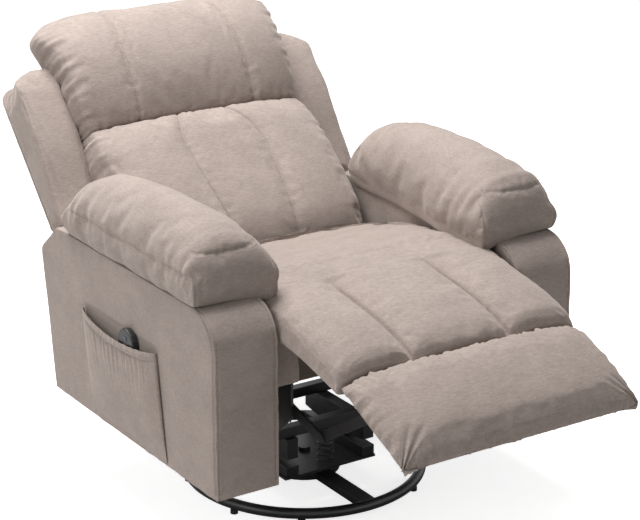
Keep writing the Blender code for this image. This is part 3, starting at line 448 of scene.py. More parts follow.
def blend_tones(tree, share, low, high):
    made = tree.nodes.new("ShaderNodeMix")
    made.data_type = "RGBA"
    made.clamp_factor = True
    for socket, value in ((made.inputs[0], share), (made.inputs[6], low), (made.inputs[7], high)):
        if isinstance(value, (int, float)):
            socket.default_value = value
        elif isinstance(value, (tuple, list)):
            socket.default_value = (*value, 1.0) if len(value) == 3 else value
        else:
            tree.links.new(value, socket)
    return made.outputs[2]


def pile_group():
    """Short brushed pile: tufts with darker gaps, patches of turned nap, and its relief."""
    found = bpy.data.node_groups.get("short_pile")
    if found:
        return found
    tree, given, made = new_group(
        "short_pile",
        (("Place", "Vector", None), ("Light", "Color", (0.5, 0.5, 0.5, 1.0)),
         ("Dark", "Color", (0.2, 0.2, 0.2, 1.0)), ("Tufts", "Float", 330.0), ("Nap", "Float", 0.5)),
        (("Color", "Color"), ("Height", "Float"), ("Roughness", "Float")),
    )
    place = given.outputs["Place"]
    patches = noise_node(tree, place, 6.5, 2.0)
    nap = noise_node(tree, place, 30.0, 3.0, 0.6, (0.6, 0.8, 1.2))
    dashes = noise_node(tree, place, 330.0, 3.0, 0.7, (0.22, 0.36, 1.30))
    tufts = noise_node(tree, place, given.outputs["Tufts"], 3.0, 0.65, (1.0, 1.0, 0.45))
    fibres = noise_node(tree, place, 1500.0, 1.0, 0.5)
    share = 0.5
    for pattern, weight in ((patches, given.outputs["Nap"]), (nap, 0.45), (tufts, 0.70), (dashes, 0.95)):
        share = math_node(tree, "MULTIPLY_ADD", math_node(tree, "SUBTRACT", pattern, 0.5), weight, share)
    share = math_node(tree, "ADD", share, 0.12, clamp=True)
    relief = math_node(tree, "MULTIPLY_ADD", dashes, 0.4, math_node(tree, "MULTIPLY", fibres, 0.15))
    link = tree.links.new
    link(blend_tones(tree, share, given.outputs["Dark"], given.outputs["Light"]), made.inputs["Color"])
    link(math_node(tree, "MULTIPLY_ADD", tufts, 0.5, relief), made.inputs["Height"])
    link(math_node(tree, "MULTIPLY_ADD", nap, 0.2, 0.78), made.inputs["Roughness"])
    return tree


def wear_group():
    """A hard surface in use: rubbed spots, fine grain and dust where it faces up."""
    found = bpy.data.node_groups.get("rubbed_surface")
    if found:
        return found
    tree, given, made = new_group(
        "rubbed_surface",
        (("Place", "Vector", None), ("Base", "Color", (0.1, 0.1, 0.1, 1.0)),
         ("Worn", "Color", (0.3, 0.3, 0.3, 1.0)), ("Grain", "Float", 400.0), ("Rubbing", "Float", 0.3),
         ("Dust", "Float", 0.2), ("Smooth", "Float", 0.35)),
        (("Color", "Color"), ("Height", "Float"), ("Roughness", "Float")),
    )
    place = given.outputs["Place"]
    spots = noise_node(tree, place, 28.0, 4.0, 0.7)
    grain = noise_node(tree, place, given.outputs["Grain"], 2.0, 0.5)
    cloud = noise_node(tree, place, 9.0, 2.0, 0.5)
    rubbed = math_node(tree, "MULTIPLY", math_node(tree, "MULTIPLY_ADD", spots, 5.0, -2.9, clamp=True),
                       given.outputs["Rubbing"])
    geometry = tree.nodes.new("ShaderNodeNewGeometry")
    split = tree.nodes.new("ShaderNodeSeparateXYZ")
    tree.links.new(geometry.outputs["Normal"], split.inputs[0])
    dust = math_node(tree, "MULTIPLY_ADD", split.outputs[2], 1.6, -0.6, clamp=True)
    dust = math_node(tree, "MULTIPLY", math_node(tree, "MULTIPLY", dust, cloud), given.outputs["Dust"])
    tone = blend_tones(tree, rubbed, given.outputs["Base"], given.outputs["Worn"])
    tone = blend_tones(tree, dust, tone, (0.34, 0.31, 0.28))
    rough = math_node(tree, "MULTIPLY_ADD", cloud, 0.16, given.outputs["Smooth"])
    rough = math_node(tree, "ADD", rough, math_node(tree, "MULTIPLY", dust, 0.5), clamp=True)
    link = tree.links.new
    link(tone, made.inputs["Color"])
    link(grain, made.inputs["Height"])
    link(rough, made.inputs["Roughness"])
    return tree


def grouped_material(name, group, values, relief, distance, sockets):
    """A material whose colour, roughness and relief come from a node group, with constants on its shader."""
    made = bpy.data.materials.new(name)
    made.use_nodes = True
    tree = made.node_tree
    shader = tree.nodes["Principled BSDF"]
    effect = tree.nodes.new("ShaderNodeGroup")
    effect.node_tree = group
    place = tree.nodes.new("ShaderNodeTexCoord")
    tree.links.new(place.outputs["Object"], effect.inputs["Place"])
    for title, value in values.items():
        effect.inputs[title].default_value = value
    bump = tree.nodes.new("ShaderNodeBump")
    bump.inputs["Strength"].default_value = relief
    bump.inputs["Distance"].default_value = distance
    tree.links.new(effect.outputs["Height"], bump.inputs["Height"])
    tree.links.new(effect.outputs["Color"], shader.inputs["Base Color"])
    tree.links.new(effect.outputs["Roughness"], shader.inputs["Roughness"])
    tree.links.new(bump.outputs["Normal"], shader.inputs["Normal"])
    for title, value in sockets.items():
        shader.inputs[title].default_value = value
    return made


def tone(color):
    return (*color, 1.0)


def kept(name, make):
    """A material by name, made the first time that it is asked for."""
    return bpy.data.materials.get(name) or make(name)


def cloth_finish(name, light, dark, tufts, nap, relief, distance, sockets):
    """A brushed cloth: its two tones, the scale of its tufts and the share of its nap."""
    values = {"Light": tone(light), "Dark": tone(dark), "Tufts": tufts, "Nap": nap}
    return kept(name, lambda title: grouped_material(title, pile_group(), values, relief, distance, sockets))


def hard_finish(name, base, worn, grain, rubbing, dust, smooth, relief, distance, sockets=None):
    """A hard surface in use: its tones, the scale of its grain, and how rubbed, dusty and rough it is."""
    values = {"Base": tone(base), "Worn": tone(worn), "Grain": grain, "Rubbing": rubbing, "Dust": dust,
              "Smooth": smooth}
    return kept(name, lambda title: grouped_material(title, wear_group(), values, relief, distance,
                                                     sockets or {}))


def chenille():
    return cloth_finish(
        "greige_chenille_pile", cloth().light_tone, cloth().dark_tone, tufts=420.0, nap=0.30,
        relief=0.5, distance=0.0012,
        sockets={"Sheen Weight": 0.35, "Sheen Roughness": 0.45, "Sheen Tint": (1.0, 0.93, 0.86, 1.0),
                 "Specular IOR Level": 0.25})


def sewing_thread():
    light = cloth().thread_tone
    return cloth_finish(
        "sewing_thread", light, [0.6 * value for value in light], tufts=1600.0, nap=0.2,
        relief=0.3, distance=0.0003, sockets={"Specular IOR Level": 0.4})


def lining_cloth():
    return cloth_finish(
        "black_lining_cloth", (0.045, 0.043, 0.042), (0.015, 0.015, 0.015), tufts=900.0, nap=0.3,
        relief=0.3, distance=0.0005, sockets={"Sheen Weight": 0.1, "Specular IOR Level": 0.2})


def painted_steel():
    # The base tone is black paint, darkened further as painted shade for the mechanism under the seat
    return hard_finish(
        "black_painted_steel", hardware().steel_and_shade_tone, (0.032, 0.032, 0.034), grain=700.0, rubbing=0.30,
        dust=0.05, smooth=0.32, relief=0.15, distance=0.0003,
        sockets={"Metallic": 0.0, "Coat Weight": 0.12, "Coat Roughness": 0.35})


def glide_rubber():
    return hard_finish(
        "black_glide_rubber", (0.014, 0.014, 0.014), (0.07, 0.065, 0.06), grain=1200.0, rubbing=0.5,
        dust=0.3, smooth=0.62, relief=0.3, distance=0.0003)


def remote_plastic():
    return hard_finish(
        "dark_remote_plastic", hardware().case_tone, (0.06, 0.06, 0.065), grain=1800.0, rubbing=0.2,
        dust=0.05, smooth=0.26, relief=0.12, distance=0.0002, sockets={"Specular IOR Level": 0.5})


def key_rubber():
    return hard_finish(
        "grey_key_rubber", (0.11, 0.11, 0.12), (0.22, 0.22, 0.22), grain=1600.0, rubbing=0.4,
        dust=0.05, smooth=0.5, relief=0.15, distance=0.0002)


def plywood():
    return hard_finish(
        "birch_plywood", hardware().wood_tone, (0.33, 0.21, 0.11), grain=160.0, rubbing=0.6,
        dust=0.1, smooth=0.55, relief=0.2, distance=0.0006)


def floor_paint():
    """A pale floor that keeps shadows, and meets the white surroundings in the camera's eye."""
    made = bpy.data.materials.new("pale_floor")
    made.use_nodes = True
    tree = made.node_tree
    shader = tree.nodes["Principled BSDF"]
    shader.inputs["Base Color"].default_value = (0.86, 0.86, 0.855, 1.0)
    shader.inputs["Roughness"].default_value = 0.9
    shader.inputs["Specular IOR Level"].default_value = 0.1
    shader.inputs["Emission Color"].default_value = (1.0, 1.0, 1.0, 1.0)
    paths = tree.nodes.new("ShaderNodeLightPath")
    lift = math_node(tree, "MULTIPLY", paths.outputs["Is Camera Ray"], 0.78)
    tree.links.new(lift, shader.inputs["Emission Strength"])
    return made


def front_loops(seam):
    """Stations across a cushion of the back or leg rest, with three loops on each sewn line."""
    outer = [seam - 0.04, seam, seam + 0.04, (1.0 + seam) / 2, 0.94]
    return [-value for value in reversed(outer)] + [-seam / 2, 0.0, seam / 2] + outer


# Cushions of the back: shares of the crown against shares of the height, and the seams' distances by height
LUMBAR_PROFILE = (
    (0.0, 0.86), (0.10, 0.96), (0.22, 1.0), (0.50, 0.93), (0.75, 0.84), (0.90, 0.75), (1.0, 0.60),
)
HEAD_PROFILE = (
    (0.0, 0.70), (0.08, 0.84), (0.30, 0.97), (0.52, 1.01), (0.72, 0.94), (0.88, 0.76), (1.0, 0.46),
)
LUMBAR_CROWN = 0.207
HEAD_CROWN = 0.157
HEAD_TOP_U = 0.762
LUMBAR_LOW_U = 0.003
LUMBAR_REAR_RISE = 0.085
HEAD_CORNER_SHARE = 0.052
WING_CLEAR_U = (0.640, 0.700)
BACK_STITCH_BESIDE = 0.0042
LUMBAR_SEAM_LINE = ((0.0, 0.080), (0.12, 0.090), (0.28, 0.104), (0.36, 0.094), (0.43, 0.064))
HEAD_SEAM_LINE = ((0.43, 0.158), (0.55, 0.160), (0.68, 0.150), (0.76, 0.138))


def back_seam_x(height):
    """How far the two upright sewn lines of the back are from its middle at a height."""
    return follow(LUMBAR_SEAM_LINE if height < LUMBAR_SEAM_U else HEAD_SEAM_LINE, height)


def back_cushion(name, profile, crown, low, top, rear_low, corner, heights):
    """A cushion of the back in its upright frame, with its face at -Y and its height along Z."""
    def place(a, b, c):
        up, ahead = (c + 1.0) / 2, (1.0 - b) / 2
        depth = crown * follow(profile, up) * (1.0 - 0.20 * abs(a) ** 5)
        high = top * (1.0 - corner * abs(a) ** 10)
        base = low + rear_low * (1.0 - ahead)
        bulge = (0.011 * swell(c) - 0.009 * abs(c) ** 3) * ramp(ahead, 0.45, 0.85)
        height = mix(base, high, up)
        half = (BACK_HALF_WIDTH + 0.001 + bulge) * (1.0 - 0.012 * b * b)
        half += mix(0.012, 0.032, ahead) * ramp(height, *WING_CLEAR_U)
        loop, line = BACK_SEAM_X / BACK_HALF_WIDTH, back_seam_x(height)
        beyond = (abs(a) - loop) / (1.0 - loop)
        across = math.copysign(abs(a) / loop * line if beyond < 0.0 else mix(line, half, beyond), a)
        return (across, mix(BACK_REAR, -depth, ahead), height)

    return cage(name, (front_loops(BACK_SEAM_X / BACK_HALF_WIDTH), (-0.62, 0.0), heights), place, 3)


def back_seam_pull(place):
    """How near a point of the back is to one of its two upright sewn lines, on the face only."""
    facing = min(1.0, max(0.0, (-place.y - 0.02) / 0.03))
    return facing, abs(abs(place.x) - back_seam_x(place.z))


def back_sewing(place, edge, seed):
    """What the sewn lines, the seam between the two cushions and the side seams do to a cushion's face."""
    facing, line = back_seam_pull(place)
    side = BACK_HALF_WIDTH - abs(place.x)
    depth = -facing * cloth().seam_depth * (dip(line, 0.0035) + 0.45 * dip(line, 0.013))
    depth += 0.0050 * facing * gathers(place.x, edge, 0.020, 0.014, seed)
    flank = gathers(place.z, side, 0.032, 0.015, seed + 2.0 + (place.x > 0))
    depth += 0.0060 * flank * ramp(-place.y, 0.01, 0.05)
    depth -= 0.0030 * dip(side + 0.9 * (place.y + 0.135), 0.006) * (side < 0.05)
    depth += 0.0016 * facing * gathers(place.z, line, 0.012, 0.012, seed + 5.0)
    return depth + 0.0012 * creases(place, 0.10, seed + 7.0)


def back_held(place):
    """What the cloth simulation keeps: the rear face, the sewn lines and the seam between the cushions."""
    facing, line = back_seam_pull(place)
    rear = 1.0 if place.y > BACK_REAR - 0.012 else 0.0
    return max(rear, facing * dip(line, 0.007), dip(place.z - LUMBAR_SEAM_U, 0.008))


def back_stitches(name, piece, low, high):
    """Two rows of stitches beside each upright sewn line of a back cushion."""
    runs = [[(side * back_seam_x(z) + beside, -0.20, z) for z in span(low, high, 60)]
            for side in (-1, 1) for beside in (-BACK_STITCH_BESIDE, BACK_STITCH_BESIDE)]
    sewing_line(name, piece, runs, (0.0, -1.0, 0.0), "back", BACK_FRAME)


class RECLINER_OT_head_cushion(bpy.types.Operator):
    """Sew and stuff the head cushion, the upper roll of the back"""

    bl_idname = "recliner.head_cushion"
    bl_label = "Head cushion"

    def execute(self, context):
        piece = back_cushion("headrest_cover", HEAD_PROFILE, HEAD_CROWN, LUMBAR_SEAM_U + SEAM_GAP,
                             HEAD_TOP_U, 0.0, HEAD_CORNER_SHARE, (-0.94, -0.6, -0.2, 0.2, 0.55, 0.80, 0.93))
        press(piece, lambda place, normal: back_sewing(place, place.z - LUMBAR_SEAM_U, 3.0))
        stuff(piece, back_held, 0.006)
        subdivide(piece, 1)
        back_stitches("headrest_stitches", piece, LUMBAR_SEAM_U + 0.012, HEAD_TOP_U - 0.045)
        finish_soft(piece, BACK_FRAME, chenille(), "back", ["head_cushion"])
        return {"FINISHED"}


class RECLINER_OT_lumbar_cushion(bpy.types.Operator):
    """Sew and stuff the lumbar cushion, the lower bolster of the back"""

    bl_idname = "recliner.lumbar_cushion"
    bl_label = "Lumbar cushion"

    def execute(self, context):
        piece = back_cushion("lumbar_cover", LUMBAR_PROFILE, LUMBAR_CROWN, LUMBAR_LOW_U,
                             LUMBAR_SEAM_U - SEAM_GAP, LUMBAR_REAR_RISE, 0.0,
                             (-0.94, -0.7, -0.4, 0.05, 0.5, 0.78, 0.93))
        press(piece, lambda place, normal: back_sewing(place, LUMBAR_SEAM_U - place.z, 21.0))
        stuff(piece, back_held, 0.006)
        subdivide(piece, 1)
        back_stitches("lumbar_stitches", piece, 0.05, LUMBAR_SEAM_U - 0.012)
        finish_soft(piece, BACK_FRAME, chenille(), "back", ["lumbar_cushion"])
        return {"FINISHED"}


WING_INNER_X = 0.2995
WING_OUTER_X = 0.413
WING_BOTTOM_U = 0.242
WING_TOP_U = 0.642
WING_REAR = 0.0317
WING_LOW_REACH = 0.038
WING_REACH = 0.076


class RECLINER_OT_wings(bpy.types.Operator):
    """Stuff the two side wings of the back"""

    bl_idname = "recliner.wings"
    bl_label = "Back wings"

    def execute(self, context):
        for side, name in ((-1, "right"), (1, "left")):
            piece = self.wing(side, name)
            finish_soft(piece, BACK_FRAME, chenille(), "back", [f"back_wing_{name}"])
        return {"FINISHED"}

    def wing(self, side, name):
        def place(a, b, c):
            up = (c + 1.0) / 2
            reach = mix(WING_LOW_REACH, WING_REACH, ramp(up, 0.12, 0.47))
            top = max(0.0, (up - 0.86) / 0.14)
            front = -reach * (1.0 - 0.10 * abs(a)) * (1.0 - 0.42 * top * top)
            across = mix(WING_INNER_X, WING_OUTER_X - 0.001, (side * a + 1.0) / 2)
            round_off = 0.030 * max(0.0, side * a) ** 2 * top
            return (side * (across - 0.4 * round_off), mix(front, WING_REAR, (b + 1.0) / 2),
                    mix(WING_BOTTOM_U, WING_TOP_U, up) - round_off)

        loops = ((-0.88, 0.0, 0.88), (-0.88, 0.0, 0.88), (-0.95, -0.5, 0.0, 0.5, 0.72, 0.86, 0.95))
        piece = cage(f"wing_cover_{name}", loops, place, 3)
        seam = WING_OUTER_X - 0.012

        def sew(place, normal):
            edge = math.hypot(abs(place.x) - seam, min(0.0, place.y + 0.055))
            depth = -0.003 * dip(edge, 0.004) * (place.y < -0.01)
            depth += 0.003 * gathers(place.x + place.y, WING_TOP_U - place.z, 0.035, 0.020, 41.0 + side)
            return depth + 0.0015 * creases(place, 0.09, 43.0 + side)

        press(piece, sew)
        stuff(piece, lambda p: 1.0 if p.y > WING_REAR - 0.008 else 0.0, 0.003, 0.5)
        return subdivide(piece, 1)


PILLOW_INNER_X = 0.305
PILLOW_OUTER_X = 0.480
PILLOW_FRONT_Y = -0.284
PILLOW_REAR_Y = 0.308
PILLOW_BASE_Z = 0.6073
PILLOW_CREST = (
    (-0.284, 0.088), (-0.272, 0.118), (-0.248, 0.139), (-0.20, 0.153), (-0.10, 0.163),
    (0.03, 0.167), (0.13, 0.163), (0.22, 0.144), (0.28, 0.112), (0.308, 0.078),
)
PILLOW_LOOPS = (
    (-0.92, -0.5, 0.0, 0.5, 0.92), (-0.965, -0.86, -0.7, -0.4, 0.0, 0.4, 0.75, 0.93), (-0.75, -0.1, 0.45),
)
PILLOW_SEAM_Z = 0.672
PILLOW_PANEL_Z = 0.716
PILLOW_SPILL = 0.036


class RECLINER_OT_arm_pillows(bpy.types.Operator):
    """Sew and stuff the pillow on each arm"""

    bl_idname = "recliner.arm_pillows"
    bl_label = "Arm pillows"

    def execute(self, context):
        for side, name in ((-1, "right"), (1, "left")):
            piece = self.pillow(side, name)
            self.stitches(piece, side, name)
            finish_soft(piece, STILL, chenille(), "chair", [f"arm_pillow_{name}"])
        return {"FINISHED"}

    def pillow(self, side, name):
        middle = side * (PILLOW_INNER_X + PILLOW_OUTER_X) / 2
        half = (PILLOW_OUTER_X - PILLOW_INNER_X) / 2 - 0.001

        def place(a, b, c):
            along, up = (b + 1.0) / 2, (c + 1.0) / 2
            y = mix(PILLOW_FRONT_Y, PILLOW_REAR_Y, along)
            y -= 0.040 * c * c * along * swell(1.0 - along, 1.0)
            outer, inner = max(0.0, side * a), max(0.0, -side * a)
            height = follow(PILLOW_CREST, y)
            top = PILLOW_BASE_Z + height * (1.0 - 0.34 * outer**3 - 0.34 * inner**3)
            spill = 1.0 - ramp(y, -0.16, 0.07)
            x = middle + a * half * (1.0 - 0.08 * c * c) - side * inner * (PILLOW_SPILL * spill + 0.004)
            y -= 0.010 * swell(c, 2.0) * (1.0 - along) ** 6
            sag = 0.003 * outer**4 - (0.018 + 0.006 * spill) * inner**2
            base = PILLOW_BASE_Z + sag * (1.0 if up < 0.5 else 0.0)
            return (x, y, mix(base, top, up))

        piece = cage(f"pillow_cover_{name}", PILLOW_LOOPS, place, 3)
        low_x, high_x = PILLOW_INNER_X - 0.034, PILLOW_OUTER_X - 0.006

        def outer_side(place):
            outside = ramp(side * place.x, PILLOW_OUTER_X - 0.040, PILLOW_OUTER_X - 0.020)
            return outside * ramp(PILLOW_REAR_Y - place.y, 0.010, 0.070)

        def sew(place, normal):
            out, outside = side * place.x, outer_side(place)
            front = ramp(-normal.y, 0.35, 0.75)
            line = abs(place.z - PILLOW_SEAM_Z)
            above = place.z - PILLOW_PANEL_Z
            panel = min(abs(out - high_x + 0.006), abs(out - low_x - 0.006))
            behind_front = ramp(place.y, PILLOW_FRONT_Y, PILLOW_FRONT_Y + 0.03)
            depth = -0.0030 * outside * dip(line, 0.0035) * behind_front
            depth -= front * 0.0045 * dip(above, 0.0035)
            depth -= front * 0.0030 * dip(panel, 0.0030) * (above < 0.004)
            puckers = gathers(out, max(0.0, above), 0.020, 0.0075, 55.0 + side) * (above > 0.0)
            depth += 0.0060 * puckers * ramp(PILLOW_FRONT_Y + 0.075 - place.y, 0.0, 0.05)
            depth += 0.0075 * outside * gathers(place.y, line, 0.030, 0.024, 51.0 + side)
            fan = place.y + 0.35 * (place.z - PILLOW_SEAM_Z)
            fan_folds = noise.noise(Vector((fan / 0.030, out / 0.22, 61.0 + side))) * (1.0 - front)
            fan_folds *= ramp(abs(place.y + 0.02), 0.02, 0.24)
            depth += 0.0050 * fan_folds * ramp(place.z, PILLOW_BASE_Z, PILLOW_BASE_Z + 0.05)
            long_fold = noise.noise(Vector((place.y / 0.085 + 0.25 * out / 0.05, out / 0.5, 67.0 + side)))
            depth += 0.0045 * long_fold * swell((place.y - 0.03) / 0.28)
            return depth + 0.0018 * creases(place, 0.05, 63.0 + side)

        press(piece, sew)

        def held(place):
            resting = 1.0 if place.z < PILLOW_BASE_Z + 0.006 else 0.0
            front = 1.0 if place.y < PILLOW_FRONT_Y + 0.014 else 0.0
            seam = outer_side(place) * dip(place.z - PILLOW_SEAM_Z, 0.003)
            return max(resting, seam, front * dip(place.z - PILLOW_PANEL_Z, 0.004))

        stuff(piece, held, 0.006)
        return subdivide(piece, 1)

    def stitches(self, piece, side, name):
        out = side * (PILLOW_OUTER_X + 0.05)
        stations = span(PILLOW_FRONT_Y + 0.02, PILLOW_REAR_Y - 0.05, 60)
        rows = [[(out, y, PILLOW_SEAM_Z + beside) for y in stations]
                for beside in (-STITCH_BESIDE, STITCH_BESIDE)]
        sewing_line(f"pillow_stitches_{name}", piece, rows, (side, 0.0, 0.0))
        ends = (side * (PILLOW_INNER_X - 0.026), side * (PILLOW_OUTER_X - 0.016))
        rows = [[(x, -0.36, PILLOW_PANEL_Z + beside) for x in span(*ends, 60)]
                for beside in (-0.0048, 0.0045)]
        rows += [[(ends[1], -0.36, z) for z in span(PILLOW_BASE_Z + 0.014, PILLOW_PANEL_Z - 0.006, 40)]]
        sewing_line(f"pillow_front_stitches_{name}", piece, rows, (0.0, -1.0, 0.0), pitch=0.007)


# Seat, bridging pad and the surface that they share: heights along the chair
BRIDGE_FALL = (SEAT_SEAM_Z - FOOT_SEAM.z) / (SEAT_SEAM_Y - FOOT_SEAM.y)
SEAM_LEAN = (math.degrees(math.atan(BRIDGE_FALL)) + FOOT_LEAN) / 2
SEAT_LINE = (
    (-0.580, 0.527), (-0.570, 0.541), (-0.545, 0.556), (-0.48, 0.576), (-0.40, 0.592), (-0.32, 0.602),
    (-0.25, 0.605), (-0.18, 0.603), (-0.10, 0.592), (0.0, 0.575), (0.06, 0.560), (0.12, 0.545),
)
SEAT_LAP = 0.006
SEAT_BOTTOM_Z = 0.425
BACK_SWEEP_R = 0.2275 - 0.002


def bridge_bottom(y):
    """Height of the bridging pad's flat underside at a station."""
    return SEAT_SEAM_Z + (y - SEAT_SEAM_Y) * BRIDGE_FALL - BRIDGE_THICK


def seat_top(x, y):
    """Height of the one padded surface that runs from the seat over its front edge to the foot seam."""
    share = min(1.0, abs(x) / PAD_HALF_WIDTH)
    free = ramp(-y, 0.20, 0.44)
    height = follow(SEAT_LINE, y) - mix(0.014, 0.030, free) * share ** mix(6.0, 8.0, free)
    line = abs(abs(x) - CHANNEL_X)
    sewn = ramp(-y, 0.222, 0.330)
    height -= sewn * (0.0130 * dip(line, 0.030) + 0.0110 * dip(line, 0.0060))
    height += 0.0016 * sewn * gathers(y, line, 0.014, 0.016, 85.0 + (x > 0))
    height += 0.0065 * gathers(x, y - FOOT_SEAM.y, 0.034, 0.0115, 81.0)
    height += 0.0040 * noise.noise(Vector((x / 0.17, y / 0.055, 73.0))) * ramp(y, -0.30, -0.12)
    height += 0.0030 * gathers(x, y - SEAT_SEAM_Y, 0.030, 0.020, 83.0)
    edge = gathers(y, PAD_HALF_WIDTH - abs(x), 0.030, 0.022, 89.0 + (x > 0))
    return height + 0.0040 * edge + 0.0014 * creases(Vector((x, y, 0.0)), 0.09, 87.0)


def settle(piece):
    """Lay the upper side of a seat pad on the surface that the two pads share."""
    places = [(vert, ramp(vert.normal.z, 0.50, 0.80)) for vert in piece.data.vertices]
    for vert, share in places:
        vert.co.z = mix(vert.co.z, seat_top(vert.co.x, vert.co.y), share)
    piece.data.update()
    return piece


def joined(place):
    """One beside the line where the seat passes into the bridging pad, and nothing away from it."""
    return 1.0 - ramp(abs(place.y - SEAT_SEAM_Y), 0.012, 0.050)


class RECLINER_OT_seat_cushion(bpy.types.Operator):
    """Stuff the seat cushion between the arms"""

    bl_idname = "recliner.seat_cushion"
    bl_label = "Seat cushion"

    def execute(self, context):
        def place(a, b, c):
            x = a * PAD_HALF_WIDTH * (1.0 - 0.008 * c * c)
            front = SEAT_SEAM_Y + SEAM_GAP - (SEAT_LAP if c > 0.5 else 0.0)
            face = seat_top(x, mix(front, 0.07, (b + 1.0) / 2))
            z = mix(SEAT_BOTTOM_Z, face, (c + 1.0) / 2)
            rear = HINGE.y - math.sqrt(BACK_SWEEP_R**2 - (z - HINGE.z) ** 2)
            return (x, mix(front, rear, (b + 1.0) / 2), z)

        widths, lengths = (-0.95, -0.7, -0.35, 0.0, 0.35, 0.7, 0.95), (-0.985, -0.6, -0.2, 0.2, 0.6, 0.95)
        piece = settle(cage("seat_cover", (widths, lengths, (-0.3, 0.4, 0.85)), place, 4))

        def held(place):
            below = 1.0 if place.z < 0.50 else 0.0
            front = 1.0 if place.y < SEAT_SEAM_Y + 0.02 else 0.0
            return max(below, joined(place), front)

        stuff(piece, held, 0.004, 0.7)
        finish_soft(piece, STILL, chenille(), "chair", ["seat_cushion"])
        return {"FINISHED"}


class RECLINER_OT_bridge_pad(bpy.types.Operator):
    """Sew and stuff the three channels that join the seat to the foot panel"""

    bl_idname = "recliner.bridge_pad"
    bl_label = "Bridging pad"

    def execute(self, context):
        def place(a, b, c):
            along, up = (b + 1.0) / 2, (c + 1.0) / 2
            edge = 0.10 * BRIDGE_THICK if abs(a) > 0.99 else 0.0
            flat = mix(FOOT_SEAM.y + SEAM_GAP, SEAT_SEAM_Y - SEAM_GAP + SEAT_LAP * (c > 0.5), along)
            x = a * PAD_HALF_WIDTH * (1.0 - 0.008 * abs(c))
            low = edge + 0.024 * ramp(-flat, 0.25, 0.45)
            rise = mix(low, seat_top(x, flat) - bridge_bottom(flat) - edge, up)
            lean = (BRIDGE_THICK - rise) * math.tan(math.radians(SEAM_LEAN)) * (1.0 - along)
            return (x, flat + max(0.0, lean), bridge_bottom(flat) + rise)

        lengths = (-0.965, -0.90, -0.6, -0.2, 0.2, 0.6, 0.985)
        loops = (front_loops(CHANNEL_X / PAD_HALF_WIDTH), lengths, (-0.7, 0.1, 0.74))
        piece = settle(cage("bridge_cover", loops, place, 3))

        def held(place):
            line = abs(abs(place.x) - CHANNEL_X) + 0.01 * (1.0 - ramp(-place.y, 0.25, 0.33))
            under = 1.0 if place.z < bridge_bottom(place.y) + 0.034 else 0.0
            return max(under, dip(line, 0.010), dip(place.y - FOOT_SEAM.y, 0.010), joined(place))

        stuff(piece, held, 0.003, 0.5)
        subdivide(piece, 1)
        rows = [[(side * CHANNEL_X + beside, y, 0.62) for y in span(FOOT_SEAM.y + 0.016, -0.29, 60)]
                for side in (-1, 1) for beside in (-STITCH_BESIDE, STITCH_BESIDE)]
        thread = sewing_line("bridge_stitches", piece, rows, (0.0, 0.0, 1.0))
        finish_soft(piece, STILL, chenille(), "chair", ["bridge_pad"])
        for item in (piece, thread):
            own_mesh(item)
        return {"FINISHED"}


FOOT_LENGTH = 0.246
FOOT_THICK = 0.030
FOOT_LINE = (
    (-0.246, -0.010), (-0.238, 0.008), (-0.220, 0.020), (-0.17, 0.029), (-0.10, 0.031),
    (-0.045, 0.027), (-0.015, 0.021), (-0.005, 0.015), (0.002, 0.006),
)
BOARD_HALF_WIDTH = 0.262
BOARD_FRONT, BOARD_REAR = -0.208, -0.028
BOARD_LOW, BOARD_HIGH = -0.0622, -0.0250


